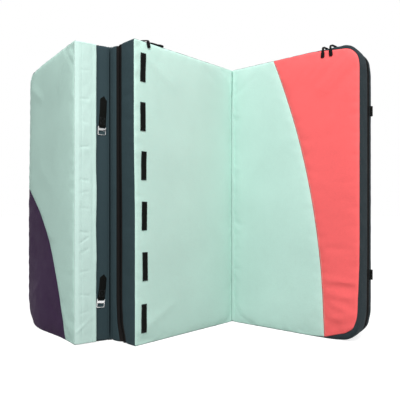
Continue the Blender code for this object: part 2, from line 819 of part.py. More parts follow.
def add_edge_tabs(panel):
    """Folded webbing tabs on the free edge, near the back face."""
    centres = (PANEL_HEIGHT - UPPER_TAB_BELOW_TOP, LOWER_TAB_HEIGHT)
    for number, centre in enumerate(centres, start=1):
        start = PANEL_THICKNESS - EDGE_TAB_BACK_MARGIN - EDGE_TAB_DEPTH
        low = panel.point(PANEL_WIDTH + SEAT_GAP, start, centre - EDGE_TAB_HEIGHT / 2)
        high = low + Vector((EDGE_TAB_PROUD, EDGE_TAB_DEPTH, EDGE_TAB_HEIGHT))
        bm = box_mesh(low, high)
        bevel_edges(bm, bm.edges[:], EDGE_TAB_BEVEL)
        add_object(f"edge_tab_{number}", bm, black_webbing(), panel.frame)


def back_seat(reach, height):
    """The depth of the back cover's outer face at a place, counted from its nearest edge."""
    inset = min(reach, PANEL_WIDTH - reach, height, PANEL_HEIGHT - height)
    return back_of(inset)


def add_carrying_strap(panel, number, way):
    """A padded shoulder strap and the webbing that runs from its lower end."""
    centre_reach = PANEL_WIDTH / 2
    top_height = PANEL_HEIGHT - SHOULDER_PAD_BELOW_TOP
    outward = Vector((0.0, 1.0, 0.0))
    stations = []
    for i in range(SHOULDER_PAD_STEPS + 1):
        share = i / SHOULDER_PAD_STEPS
        height = top_height - SHOULDER_PAD_LENGTH * share
        spread = SHOULDER_TOP_SPREAD + (SHOULDER_END_SPREAD - SHOULDER_TOP_SPREAD) * share
        spread += SHOULDER_BOW * math.sin(math.pi * share)
        reach = centre_reach + way * spread
        half_thickness = SHOULDER_PAD_THICKNESS / 2
        depth = PANEL_THICKNESS + BACK_CROWN + SEAT_GAP + half_thickness
        taper = SHOULDER_TAPER_SHARE * abs(2.0 * share - 1.0) ** 3
        half_width = SHOULDER_PAD_WIDTH / 2 * (1.0 - taper)
        centre = panel.point(reach, depth, height)
        side = panel.point(1.0, 0.0, 0.0)
        stations.append((centre, side, outward, half_width, half_thickness))
    bm = lofted_bar(stations, PADDED_SECTION_SHARES)
    add_object(f"shoulder_pad_{number}", bm, slate_fabric(), panel.frame)

    pad_end = (centre_reach + way * SHOULDER_END_SPREAD,
               top_height - SHOULDER_PAD_LENGTH - SHOULDER_TO_WEBBING_GAP)
    anchor = (centre_reach + way * SHOULDER_ANCHOR_SPREAD, SHOULDER_ANCHOR_HEIGHT)
    stations = []
    for reach, height in (pad_end, anchor):
        depth = back_seat(reach, height) + SEAT_GAP + WEBBING_THICKNESS / 2
        centre = panel.point(reach, depth, height)
        side = panel.point(1.0, 0.0, 0.0)
        stations.append((centre, side, outward, WEBBING_WIDTH / 2, WEBBING_THICKNESS / 2))
    bm = lofted_bar(stations, FLAT_SECTION_SHARES)
    add_object(f"shoulder_webbing_{number}", bm, black_webbing(), panel.frame)


# Assembly

def add_panel(panel):
    """The pieces that every panel has."""
    add_back_cover(panel)
    add_foams(panel)
    add_edge_bands(panel)
    add_zip_tape(panel)
    add_hinge_gusset(panel)


def main():
    for obj in list(bpy.data.objects):
        bpy.data.objects.remove(obj, do_unlink=True)

    # The origin lies under the middle panel's front gusset, half way along its foot.
    foot_middle = (FABRIC_THICKNESS + MIDDLE_ZIP_DEPTH - ZIP_VISIBLE_WIDTH / 2) / 2
    front_hinge_corner = turned(PANEL_WIDTH / 2, -foot_middle, MIDDLE_TURN)
    middle_frame = add_frame("middle_panel_frame", front_hinge_corner, MIDDLE_TURN)
    middle = Panel("middle", middle_frame, -1.0, HINGE_CORNER_RADIUS, MIDDLE_ZIP_DEPTH)

    front_axis = Vector((FRONT_FOLD_SIDE_OFFSET, -FRONT_FOLD_FACE_OFFSET, 0.0))
    rear_axis = Vector((
        -PANEL_WIDTH - REAR_FOLD_SIDE_OFFSET, PANEL_THICKNESS + REAR_FOLD_FACE_OFFSET, 0.0,
    ))
    front_pivot = add_frame("front_fold_axis", front_axis, 0.0, middle_frame)
    rear_pivot = add_frame("rear_fold_axis", rear_axis, 0.0, middle_frame)

    right_turn = RIGHT_TURN - MIDDLE_TURN
    left_turn = LEFT_TURN - MIDDLE_TURN
    to_right = Vector((FRONT_FOLD_SIDE_OFFSET, FRONT_FOLD_FACE_OFFSET, 0.0))
    to_left = Vector((-REAR_FOLD_SIDE_OFFSET, -PANEL_THICKNESS - REAR_FOLD_FACE_OFFSET, 0.0))
    right_corner = turned(to_right.x, to_right.y, right_turn)
    left_corner = turned(to_left.x, to_left.y, left_turn)
    right_frame = add_frame("right_panel_frame", right_corner, right_turn, front_pivot)
    left_frame = add_frame("left_panel_frame", left_corner, left_turn, rear_pivot)
    right = Panel("right", right_frame, 1.0, FREE_CORNER_RADIUS, RIGHT_ZIP_DEPTH)
    left = Panel("left", left_frame, -1.0, FREE_CORNER_RADIUS, LEFT_ZIP_DEPTH)

    for panel in (middle, left, right):
        add_panel(panel)
    add_object("middle_face", front_sheet(middle), mint_fabric(), middle_frame)
    add_left_face(left)
    add_right_face(right)
    add_zip_hardware(middle, MIDDLE_SLIDER_SETBACKS, MIDDLE_PULL_DROP)
    add_zip_hardware(right, RIGHT_SLIDER_SETBACKS, RIGHT_PULL_DROP)
    add_zip_hardware(left, LEFT_SLIDER_SETBACKS, LEFT_PULL_DROP)

    middle_front_corner = Vector((0.0, 0.0, 0.0))
    right_front_corner = front_axis + right_corner
    cloth = hinge_cloth(middle_front_corner, right_front_corner)
    add_object("front_hinge_cloth", cloth, mint_fabric(), middle_frame)
    middle_back_corner = Vector((-PANEL_WIDTH, PANEL_THICKNESS, 0.0))
    left_back_corner = rear_axis + left_corner + turned(0.0, PANEL_THICKNESS, left_turn)
    cloth = hinge_cloth(left_back_corner, middle_back_corner)
    add_object("rear_hinge_cloth", cloth, slate_fabric(), middle_frame)

    add_flap(left)
    add_flap_lining(left)
    add_hook_strips(middle)
    upper_root = PANEL_HEIGHT - UPPER_STRAP_BELOW_TOP
    straps = (
        ("upper", upper_root, UPPER_STRAP_LENGTH, UPPER_STRAP_LEAN),
        ("lower", LOWER_STRAP_ROOT_HEIGHT, LOWER_STRAP_LENGTH, LOWER_STRAP_LEAN),
    )
    for where, top, length, lean in straps:
        end, along = add_strap(left, f"{where}_closing_strap", top, length, lean)
        add_buckle(left, f"{where}_buckle", end, along)
    add_edge_tabs(right)
    for number, way in enumerate((-1.0, 1.0), start=1):
        add_carrying_strap(right, number, way)


main()
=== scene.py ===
"""The looks of a folding bouldering crash pad: covers, seams, zips, flap, straps and buckles.

Every length is in metres. A panel's own axes run across its width, from its front
face to its back face, and up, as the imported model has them.
"""

import json
import math

import bmesh
import bpy
from bpy.props import FloatProperty, FloatVectorProperty, PointerProperty
from mathutils import Matrix, Vector, noise
from mathutils.bvhtree import BVHTree


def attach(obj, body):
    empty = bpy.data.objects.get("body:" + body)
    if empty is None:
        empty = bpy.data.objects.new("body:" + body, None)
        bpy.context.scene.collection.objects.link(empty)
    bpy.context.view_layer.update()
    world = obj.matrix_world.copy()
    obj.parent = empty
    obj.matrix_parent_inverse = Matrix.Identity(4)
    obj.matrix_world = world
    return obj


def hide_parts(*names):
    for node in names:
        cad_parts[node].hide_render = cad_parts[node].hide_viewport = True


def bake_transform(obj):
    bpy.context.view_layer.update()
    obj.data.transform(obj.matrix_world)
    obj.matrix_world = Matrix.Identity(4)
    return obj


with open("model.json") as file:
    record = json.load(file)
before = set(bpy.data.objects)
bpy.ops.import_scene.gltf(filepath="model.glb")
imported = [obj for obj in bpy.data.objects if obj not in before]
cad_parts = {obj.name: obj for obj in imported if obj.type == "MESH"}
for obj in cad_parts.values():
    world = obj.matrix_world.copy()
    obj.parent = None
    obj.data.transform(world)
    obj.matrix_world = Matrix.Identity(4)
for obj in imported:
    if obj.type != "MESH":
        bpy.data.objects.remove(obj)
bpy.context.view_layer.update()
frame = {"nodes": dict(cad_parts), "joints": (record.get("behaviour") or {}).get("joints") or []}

bl_info = {
    "name": "Bouldering crash pad",
    "version": (1, 0, 0),
    "blender": (4, 5, 0),
    "location": "3D View > Sidebar > Crash Pad",
    "description": "Dresses the packed crash pad with its covers, seams, zips, flap and straps",
    "category": "Object",
}

PICTURE = 400
ACROSS = Vector((1.0, 0.0, 0.0))
INWARD = Vector((0.0, 1.0, 0.0))
UP = Vector((0.0, 0.0, 1.0))
QUARTER = math.pi / 2
TINY = 1e-5
# Points nearer than this are made one
MERGE = 0.0006
RAY_REACH = 0.2
# Half the width of a box of stitches that holds webbing
STITCH_BOX_HALF = 0.0095
# Fabric and seam gap, by which the frame's gussets are set in from the panel's outside
SKIN = 0.0015
# A rounded free corner's radius in the scene, and the radius under which a corner keeps its own
CORNER_RADIUS = 0.052
ROUNDED_FROM = 0.02


# Sizes and colours that a user would change

def length(label, default, description):
    return FloatProperty(name=label, default=default, description=description, unit="LENGTH", precision=4)


def colour(label, default, description):
    return FloatVectorProperty(
        name=label, default=default, description=description, subtype="COLOR", size=3, min=0.0, max=1.0,
    )


class CrashPadSizes(bpy.types.PropertyGroup):
    """Sizes of the covers, seams and fittings."""
    fabric: length("Fabric thickness", 0.0012, "Thickness of the cover fabric")
    cell: length("Cloth cell", 0.0125, "Spacing of the cover mesh before it is subdivided")
    seam_rim: length("Seam rim", 0.004, "Width of the strip beside a seam")
    seam_groove: length("Seam groove", 0.0011, "How deep the fabric dips at a seam")
    seam_draw: length("Seam draw", 0.0012, "How far every seam is drawn in from the panel's edge")
    lower_draw: length("Lower corner draw", 0.0213, "How far the right front seam is drawn in at the foot")
    upper_draw: length("Upper corner draw", 0.0120, "How far the right front seam is drawn in at the top")
    left_bow: length("Left bow", 0.024, "How far the left panel's foot bows to the front")
    back_draw: length("Back corner draw", 0.0085, "How far the back edge is drawn in at the free corners")
    foot_draw: length("Foot corner draw", 0.0075, "How far the whole lower free corner is rounded off")
    free_lean: length("Free edge lean", 0.0060, "How far the right panel's free front edge leans out")
    wall_swell: length("Wall swell", 0.0020, "How far the middle of the right panel's edge wall swells out")
    free_bow: length("Free edge bow", 0.0046, "How far the middle panel's free side bows out at the top")
    fold_bulge: length("Fold bulge", 0.0042, "How far the walls swell beside the rear fold")
    front_crown: length("Front crown", 0.0040, "How far the middle of a front face stands out")
    back_crown: length("Back crown", 0.0010, "How far the middle of a back cover stands out")
    crown_reach: length("Crown reach", 0.120, "Distance from the edge at which the crown is full")
    puff_cap: length("Puff cap", 0.0035, "The furthest that a point moves when the cover settles")
    fold_depth: length("Fold depth", 0.0036, "Height of the soft folds in the faces")
    coil_width: length("Coil width", 0.0062, "Width of the closed zip coil")
    tooth_pitch: length("Tooth pitch", 0.0026, "Spacing of the coil's turns")
    stitch_length: length("Stitch length", 0.0032, "Length of one stitch")
    stitch_pitch: length("Stitch pitch", 0.0044, "Spacing of stitches in a row")
    thread: length("Thread", 0.0005, "Radius of the sewing thread")


class CrashPadColours(bpy.types.PropertyGroup):
    """Colours of the fabrics and fittings."""
    mint: colour("Mint fabric", (0.549, 0.782, 0.700), "Front faces")
    flap: colour("Flap fabric", (0.600, 0.800, 0.735), "Closing flap")
    coral: colour("Coral fabric", (0.995, 0.150, 0.152), "Right panel's block")
    purple: colour("Purple fabric", (0.046, 0.024, 0.060), "Left panel's block")
    slate: colour("Slate fabric", (0.034, 0.057, 0.065), "Edge walls and back covers")
    # The slate with painted shade, for the right panel's edge walls.
    shaded_slate: colour("Shaded slate fabric", (0.029, 0.042, 0.048), "Right panel's edge walls")
    tape: colour("Zip tape", (0.013, 0.011, 0.011), "Zip tapes")
    black: colour("Black webbing", (0.0036, 0.0042, 0.0036), "Webbing, strips and tabs")
    plastic: colour("Black plastic", (0.008, 0.008, 0.008), "Coils, sliders and moulded ends")
    alloy: colour("Alloy", (0.80, 0.80, 0.80), "Buckles")
    floor: colour("Floor", (0.42, 0.42, 0.42), "Floor")


def sizes():
    return bpy.context.scene.crash_pad_sizes


def colours():
    return bpy.context.scene.crash_pad_colours


# The panels as the frame has them

def joint_named(name):
    return next(joint for joint in frame["joints"] if joint["name"] == name)


class Panel:
    """One panel: its place in the frame and its own axes."""

    def __init__(self, name, way, joint, band):
        self.name = name
        self.way = way
        self.body = f"{name}_panel"
        self.across = Vector(joint_named(joint)["axis"]).normalized()
        self.inward = UP.cross(self.across)
        hinge = self.points(f"{name}_gusset_hinge")
        wall = self.points(f"{name}_gusset_front")
        reaches = [way * p.x for p in wall]
        start = min(way * p.x for p in hinge) * way
        depth = min(p.y for p in hinge) - SKIN
        self.width = max(reaches) - min(way * p.x for p in hinge)
        self.height = max(p.z for p in wall)
        self.thickness = max(p.y for p in hinge) + SKIN - depth
        self.origin = self.across * start + self.inward * depth
        far = max(reaches) - TINY
        cad_radius = min(p.z for p in wall if way * p.x > far)
        self.radius = cad_radius if cad_radius < ROUNDED_FROM else CORNER_RADIUS
        slider = self.points(f"{name}_zip_slider_1")
        self.zip_depth = (min(p.y for p in slider) + max(p.y for p in slider)) / 2 - depth
        self.band = (self.zip_depth - band[0], self.zip_depth + band[1])

    def points(self, node):
        """A CAD node's vertices along this panel's axes."""
        return [
            Vector((v.co.dot(self.across), v.co.dot(self.inward), v.co.z))
            for v in frame["nodes"][node].data.vertices
        ]

    @property
    def matrix(self):
        turn = Matrix((self.across, self.inward, UP)).transposed()
        return Matrix.Translation(self.origin) @ turn.to_4x4()

    def point(self, reach, depth, height):
        """A place in the panel's own axes, reach counted from its hinge side."""
        return Vector((self.way * reach, depth, height))

    def world(self, reach, depth, height):
        return self.matrix @ self.point(reach, depth, height)

    def local_box(self, node):
        """Lowest and highest corner of a CAD node along the panel's axes, from its origin."""
        inverse = self.matrix.inverted()
        points = [inverse @ v.co for v in frame["nodes"][node].data.vertices]
        low = Vector([min(p[i] for p in points) for i in range(3)])
        high = Vector([max(p[i] for p in points) for i in range(3)])
        return low, high

    def edge(self, reach, height):
        """How far a place on the face is from the outline, and which way is out."""
        far, top, round_by = self.width, self.height, self.radius
        if reach > far - round_by and not round_by <= height <= top - round_by:
            centre_height = round_by if height < top / 2 else top - round_by
            out = Vector((reach - far + round_by, height - centre_height))
            return round_by - out.length, out.normalized()
        sides = (
            (reach, (-1.0, 0.0)), (far - reach, (1.0, 0.0)),
            (height, (0.0, -1.0)), (top - height, (0.0, 1.0)),
        )
        distance, out = min(sides, key=lambda side: side[0])
        return distance, Vector(out)


MIDDLE = Panel("middle", -1.0, "middle_zip_slide_2", (0.0125, 0.0180))
LEFT = Panel("left", -1.0, "left_zip_slide_1", (0.0110, 0.0110))
RIGHT = Panel("right", 1.0, "right_zip_slide_1", (0.0160, 0.0080))
PANELS = (MIDDLE, LEFT, RIGHT)


def smooth(value):
    """A soft step from 0 to 1."""
    t = min(max(value, 0.0), 1.0)
    return t * t * (3.0 - 2.0 * t)


# Node groups and materials

def node_group(name, inputs, outputs):
    """An empty shader node group with its sockets, and its two end nodes."""
    group = bpy.data.node_groups.new(name, "ShaderNodeTree")
    for label, kind, default in inputs:
        socket = group.interface.new_socket(label, in_out="INPUT", socket_type=kind)
        if default is not None:
            socket.default_value = default
    for label, kind in outputs:
        group.interface.new_socket(label, in_out="OUTPUT", socket_type=kind)
    return group, group.nodes.new("NodeGroupInput"), group.nodes.new("NodeGroupOutput")


def add_node(tree, kind, links=(), **settings):
    """A node with its settings, and its inputs set to values or linked to sockets."""
    node = tree.nodes.new(kind)
    for key, value in settings.items():
        setattr(node, key, value)
    for key, value in dict(links).items():
        if isinstance(value, bpy.types.NodeSocket):
            tree.links.new(value, node.inputs[key])
        else:
            node.inputs[key].default_value = value
    return node


def math_node(tree, operation, first, second=0.0, third=0.0):
    node = add_node(tree, "ShaderNodeMath", {0: first, 1: second, 2: third}, operation=operation)
    return node.outputs[0]


def ramp(tree, value, low, high, to_low=0.0, to_high=1.0):
    """Maps a value from one range to another and clamps it."""
    links = {"Value": value, "From Min": low, "From Max": high, "To Min": to_low, "To Max": to_high}
    return add_node(tree, "ShaderNodeMapRange", links).outputs["Result"]


def mixed(tree, factor, first, second, blend="MIX"):
    node = add_node(tree, "ShaderNodeMix", data_type="RGBA", blend_type=blend)
    for index, value in ((0, factor), (6, first), (7, second)):
        if isinstance(value, bpy.types.NodeSocket):
            tree.links.new(value, node.inputs[index])
        else:
            node.inputs[index].default_value = value
    return node.outputs[2]


def noise_value(tree, place, scale, detail, roughness=0.5):
    """Noise over a place, from 0 to 1."""
    links = {"Vector": place, "Scale": scale, "Detail": detail, "Roughness": roughness}
    return add_node(tree, "ShaderNodeTexNoise", links).outputs["Fac"]


def toned_by(tree, base, light):
    """A colour times a value."""
    grey = add_node(tree, "ShaderNodeCombineXYZ", {0: light, 1: light, 2: light}).outputs[0]
    return mixed(tree, 1.0, base, grey, "MULTIPLY")


def weave_group():
    """A plain weave: threads going over and under each other, in the piece's own UV metres."""
    found = bpy.data.node_groups.get("Plain weave")
    if found:
        return found
    group, start, end = node_group(
        "Plain weave",
        [("Pitch", "NodeSocketFloat", 0.0009), ("Across", "NodeSocketFloat", 1.0)],
        [("Height", "NodeSocketFloat"), ("Gap", "NodeSocketFloat")],
    )
    uv = add_node(group, "ShaderNodeUVMap", uv_map="UVMap")
    split = add_node(group, "ShaderNodeSeparateXYZ", {0: uv.outputs["UV"]})
    turns = math_node(group, "DIVIDE", math.pi, start.outputs["Pitch"])
    u = math_node(group, "MULTIPLY", split.outputs["X"], turns)
    v = math_node(group, "MULTIPLY", split.outputs["Y"], turns)
    v = math_node(group, "MULTIPLY", v, start.outputs["Across"])
    over = math_node(group, "MULTIPLY", math_node(group, "SINE", u), math_node(group, "SINE", v))
    height = math_node(group, "ABSOLUTE", over)
    group.links.new(height, end.inputs["Height"])
    gap = ramp(group, height, 0.0, 0.35, 1.0, 0.0)
    group.links.new(gap, end.inputs["Gap"])
    return group


def cloth_tone_group():
    """Soft patches, fine slubs, a painted highlight near the panel's edges, and dirt with painted shade
    towards the foot, over a fabric's colour.
    """
    found = bpy.data.node_groups.get("Cloth tone")
    if found:
        return found
    group, start, end = node_group(
        "Cloth tone",
        [("Color", "NodeSocketColor", None), ("Patches", "NodeSocketFloat", 0.06),
         ("Slubs", "NodeSocketFloat", 0.05), ("Seam highlight", "NodeSocketFloat", 0.10),
         ("Foot dirt and shade", "NodeSocketFloat", 0.05)],
        [("Color", "NodeSocketColor"), ("Rough", "NodeSocketFloat")],
    )
    place = add_node(group, "ShaderNodeTexCoord").outputs["Object"]
    patch = noise_value(group, place, 5.0, 4.0)
    slub = noise_value(group, place, 240.0, 2.0)
    blotches = noise_value(group, place, 22.0, 5.0, 0.65)
    seam = add_node(group, "ShaderNodeAttribute", attribute_name="seam_share", attribute_type="GEOMETRY")
    half = ramp(group, patch, 0.35, 0.65, -0.5, 0.5)
    fine = ramp(group, slub, 0.35, 0.65, -0.5, 0.5)
    light = math_node(group, "MULTIPLY_ADD", half, start.outputs["Patches"], 1.0)
    light = math_node(group, "MULTIPLY_ADD", fine, start.outputs["Slubs"], light)
    # Lighter near the panel's edges and on the edge walls: a painted highlight where the cover turns over its
    # edges.
    seam_highlight = math_node(group, "MULTIPLY", seam.outputs["Fac"], start.outputs["Seam highlight"])
    light = math_node(group, "ADD", light, seam_highlight)
    toned = toned_by(group, start.outputs["Color"], light)
    # Darker and browner towards the foot: partly dirt, partly painted shade.
    height = add_node(group, "ShaderNodeSeparateXYZ", {0: place}).outputs["Z"]
    low = ramp(group, height, 0.0, 0.07, 1.0, 0.0)
    foot_dirt_and_shade = math_node(group, "MULTIPLY", low, ramp(group, blotches, 0.45, 0.75))
    foot_dirt_and_shade_share = math_node(group, "MULTIPLY", foot_dirt_and_shade, start.outputs["Foot dirt and shade"])
    toned = mixed(group, foot_dirt_and_shade_share, toned, (0.20, 0.17, 0.14, 1.0))
    group.links.new(toned, end.inputs["Color"])
    group.links.new(ramp(group, blotches, 0.3, 0.7, 0.68, 0.84), end.inputs["Rough"])
    return group


def new_material(name):
    made = bpy.data.materials.new(name)
    made.use_nodes = True
    return made, made.node_tree, made.node_tree.nodes["Principled BSDF"]


def fabric_material(name, base, pitch=0.0009, relief=0.00012, across=1.0, rough=0.0):
    """Woven fabric with its threads, its uneven tone and a soft crumple."""
    found = bpy.data.materials.get(name)
    if found:
        return found
    made, tree, shader = new_material(name)
    weave = add_node(tree, "ShaderNodeGroup", node_tree=weave_group())
    weave.inputs["Pitch"].default_value = pitch
    weave.inputs["Across"].default_value = across
    tone = add_node(tree, "ShaderNodeGroup", node_tree=cloth_tone_group())
    tone.inputs["Color"].default_value = (*base, 1.0)
    # Darker in the gaps between the threads: painted shade.
    dark = mixed(tree, 0.28, (1.0, 1.0, 1.0, 1.0), (0.0, 0.0, 0.0, 1.0))
    shade = mixed(tree, weave.outputs["Gap"], (1.0, 1.0, 1.0, 1.0), dark)
    tree.links.new(mixed(tree, 1.0, tone.outputs["Color"], shade, "MULTIPLY"), shader.inputs["Base Color"])
    roughness = math_node(tree, "ADD", tone.outputs["Rough"], rough)
    tree.links.new(roughness, shader.inputs["Roughness"])
    crumple = noise_value(tree, add_node(tree, "ShaderNodeTexCoord").outputs["Object"], 34.0, 3.0)
    broad = add_node(tree, "ShaderNodeBump", {"Height": crumple, "Distance": 0.0012, "Strength": 0.35})
    bump = add_node(
        tree, "ShaderNodeBump",
        {"Height": weave.outputs["Height"], "Distance": relief, "Strength": 0.6, "Normal": broad.outputs[0]},
    )
    tree.links.new(bump.outputs[0], shader.inputs["Normal"])
    shader.inputs["Specular IOR Level"].default_value = 0.08
    return made


def plain_material(name, base, roughness, metallic=0.0, grain=900.0, shine=0.5):
    """Moulded plastic or cast metal with fine grain, and uneven in tone and gloss."""
    found = bpy.data.materials.get(name)
    if found:
        return found
    made, tree, shader = new_material(name)
    place = add_node(tree, "ShaderNodeTexCoord").outputs["Object"]
    fine = noise_value(tree, place, grain, 3.0)
    broad = noise_value(tree, place, 60.0, 4.0)
    light = ramp(tree, broad, 0.3, 0.7, 0.94, 1.06)
    tree.links.new(toned_by(tree, (*base, 1.0), light), shader.inputs["Base Color"])
    gloss = ramp(tree, broad, 0.3, 0.7, roughness - 0.06, roughness + 0.08)
    tree.links.new(gloss, shader.inputs["Roughness"])
    shader.inputs["Metallic"].default_value = metallic
    shader.inputs["Specular IOR Level"].default_value = shine
    bump = add_node(tree, "ShaderNodeBump", {"Height": fine, "Distance": 0.00004, "Strength": 0.5})
    tree.links.new(bump.outputs[0], shader.inputs["Normal"])
    return made


def foam_material(name, base, cells):
    """Foam with its small open cells."""
    found = bpy.data.materials.get(name)
    if found:
        return found
    made, tree, shader = new_material(name)
    place = add_node(tree, "ShaderNodeTexCoord").outputs["Object"]
    pores = add_node(tree, "ShaderNodeTexVoronoi", {"Vector": place, "Scale": cells})
    # Darker in the hollows of the cells: painted shade.
    tone = ramp(tree, pores.outputs["Distance"], 0.0, 0.6, 0.75, 1.05)
    tree.links.new(toned_by(tree, (*base, 1.0), tone), shader.inputs["Base Color"])
    shader.inputs["Roughness"].default_value = 0.95
    bump = add_node(tree, "ShaderNodeBump", {"Height": pores.outputs["Distance"], "Distance": 0.0004})
    tree.links.new(bump.outputs[0], shader.inputs["Normal"])
    return made


def mint():
    return fabric_material("Mint fabric", colours().mint)


def flap_cloth():
    return fabric_material("Flap fabric", colours().flap)


def coral():
    return fabric_material("Coral fabric", colours().coral)


def purple():
    return fabric_material("Purple fabric", colours().purple)


def slate():
    return fabric_material("Slate fabric", colours().slate, rough=0.02)


# The slate with painted shade, for the right panel's edge walls.
def shaded_slate():
    return fabric_material("Shaded slate fabric", colours().shaded_slate, rough=0.02)


def tape():
    return fabric_material("Zip tape", colours().tape, pitch=0.0007, relief=0.0001)


def webbing():
    return fabric_material("Black webbing", colours().black, pitch=0.0016, relief=0.0004, across=0.55)


def hooks():
    return fabric_material("Hook tape", colours().black, pitch=0.0013, relief=0.0006)


def plastic():
    return plain_material("Black plastic", colours().plastic, 0.60, shine=0.06)


def alloy():
    return plain_material("Cast alloy", colours().alloy, 0.26, metallic=1.0, grain=1500.0)


def mint_thread():
    return plain_material("Mint thread", (0.50, 0.74, 0.66), 0.6, grain=2500.0)


def dark_thread():
    return plain_material("Dark thread", (0.020, 0.026, 0.030), 0.55, grain=2500.0)


# Turning bmeshes into pieces

def piece(name, bm, finish, body=None, replaces=(), slot=None, matrix=None, angle=40.0):
    """A finished object at the origin, smooth shaded, riding on its body."""
    if matrix is not None:
        bmesh.ops.transform(bm, matrix=matrix, verts=bm.verts)
    mesh = bpy.data.meshes.new(name)
    bm.to_mesh(mesh)
    bm.free()
    mesh.shade_smooth()
    mesh.set_sharp_from_angle(angle=math.radians(angle))
    mesh.materials.append(finish)
    made = bpy.data.objects.new(name, mesh)
    bpy.context.scene.collection.objects.link(made)
    if body:
        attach(made, body)
    if replaces:
        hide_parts(*replaces)
    return made


def subdivided(made):
    """Adds a Subdivision Surface that keeps the piece's corners."""
    modifier = made.modifiers.new("Smooth cloth", "SUBSURF")
    modifier.levels = 1
    modifier.render_levels = 1
    modifier.boundary_smooth = "PRESERVE_CORNERS"
    modifier.uv_smooth = "PRESERVE_BOUNDARIES"


def thickened(made, thickness, offset=-1.0):
    modifier = made.modifiers.new("Fabric thickness", "SOLIDIFY")
    modifier.thickness = thickness
    modifier.offset = offset
    modifier.use_even_offset = False


def bevelled(bm, edges, width, segments=2):
    bmesh.ops.bevel(
        bm, geom=edges, offset=width, offset_type="OFFSET", segments=segments, profile=0.5,
        affect="EDGES", clamp_overlap=True, material=-1,
    )


def cut(bm, faces, point, normal):
    """Cuts the given faces with a plane."""
    verts = dict.fromkeys(v for f in faces for v in f.verts)
    edges = dict.fromkeys(e for f in faces for e in f.edges)
    bmesh.ops.bisect_plane(bm, geom=[*verts, *edges, *faces], dist=TINY, plane_co=point, plane_no=normal)


def cut_at(bm, axis, value):
    """Cuts the whole bmesh where one coordinate has a value."""
    point, normal = Vector(), Vector()
    point[axis] = value
    normal[axis] = 1.0
    cut(bm, bm.faces[:], point, normal)


def cut_grid(bm, panel, cell):
    """Cuts a block as large as the panel into even cells, across and up."""
    for axis, way, size in ((0, panel.way, panel.width), (2, 1.0, panel.height)):
        count = round(size / cell)
        for i in range(1, count):
            cut_at(bm, axis, way * size * i / count)


def panel_block(panel, start, end):
    """A plain block between two depths of the panel, its free and its hinge-side corner edges."""
    bm = bmesh.new()
    bmesh.ops.create_cube(bm, size=1.0)
    bmesh.ops.scale(bm, vec=(panel.width, end - start, panel.height), verts=bm.verts)
    middle = panel.width / 2
    centre = panel.point(middle, (start + end) / 2, panel.height / 2)
    bmesh.ops.translate(bm, vec=centre, verts=bm.verts)
    along_depth = [e for e in bm.edges if abs(e.verts[0].co.y - e.verts[1].co.y) > TINY]
    free = [e for e in along_depth if panel.way * e.verts[0].co.x > middle]
    hinge = [e for e in along_depth if panel.way * e.verts[0].co.x < middle]
    return bm, free, hinge


# Panel covers

# The lower front seam round the free corner: run from the corner's middle, and share of the draw
LOWER_DRAWS = (
    (-0.170, 0.00), (-0.110, 0.18), (-0.079, 0.57), (-0.050, 0.94), (-0.016, 0.96),
    (0.015, 0.82), (0.048, 0.40), (0.080, 0.12), (0.135, 0.05), (0.220, 0.00),
)
FRONT, BACK, WALL_FRONT, ZIP_BAND, WALL_BACK, HINGE_WALL, BLOCK = range(7)
# Depths behind the front at which an edge wall is cut, closer where it rolls in to its seam
WALL_CUTS = (0.0015, 0.004, 0.008, 0.013, 0.020, 0.030)
# How round the corner beside a hinge is
HINGE_BEVEL = 0.003


def cover_block(panel):
    """A rounded block as large as the panel, with rims beside its seams and an even grid."""
    s = sizes()
    bm, free, hinge = panel_block(panel, 0.0, panel.thickness)
    bevelled(bm, free, panel.radius, 12 if panel.radius > s.cell else 2)
    bevelled(bm, hinge, HINGE_BEVEL, 1)
    for outward in (-1.0, 1.0):
        margin = 0.0
        for rim in (s.seam_rim, s.cell - s.seam_rim):
            bm.normal_update()
            flat = [f for f in bm.faces if f.normal.y * outward > 0.9]
            inner = max(flat, key=lambda f: f.calc_area())
            bmesh.ops.inset_region(bm, faces=[inner], thickness=rim, use_even_offset=True)
            margin += rim
            ring = inner.verts[:]
            for vert in ring:
                reach = min(max(panel.way * vert.co.x, margin), panel.width - margin)
                height = min(max(vert.co.z, margin), panel.height - margin)
                vert.co = panel.point(reach, vert.co.y, height)
            bmesh.ops.remove_doubles(bm, verts=ring, dist=MERGE)
    band_front, band_back = panel.band
    depths = [*WALL_CUTS, band_front - s.seam_rim, band_front]
    depths += [panel.zip_depth, band_back, band_back + s.seam_rim, panel.thickness - s.seam_rim]
    for depth in depths:
        cut_at(bm, 1, depth)
    cut_grid(bm, panel, s.cell)
    bmesh.ops.remove_doubles(bm, verts=bm.verts, dist=MERGE)
    return bm


def heights_of(panel):
    count = round(panel.height / sizes().cell)
    return [panel.height * i / count for i in range(count + 1)]


def bulged_curve(start, end, bulge, steps=40):
    """Points of a shallow arc from start to end that stands out by bulge to its left."""
    run = Vector(end) - Vector(start)
    across = Vector((-run.y, run.x)).normalized()
    shares = [i / steps for i in range(steps + 1)]
    return [Vector(start) + run * t + across * bulge * (1.0 - (2.0 * t - 1.0) ** 2) for t in shares]


# A block's edge on the face: its foot, its upper end and how far it bulges
CORAL_LINE = ((0.381, 0.0), (0.181, RIGHT.height), -0.050)
PURPLE_LINE = ((0.081, 0.0), (LEFT.width, 0.535), 0.080)
CORAL_CURVE = bulged_curve(*CORAL_LINE)
PURPLE_CURVE = bulged_curve(*PURPLE_LINE)


def reach_on(curve, height):
    """Where a colour block's edge is at a height, counted from the panel's hinge side."""
    for low, high in zip(curve, curve[1:]):
        if low.y <= height <= high.y:
            return low.x + (high.x - low.x) * (height - low.y) / (high.y - low.y)
    return 10.0 if height > curve[-1].y else curve[0].x


def coral_edge(height):
    return reach_on(CORAL_CURVE, height)


def purple_edge(height):
    return reach_on(PURPLE_CURVE, height)


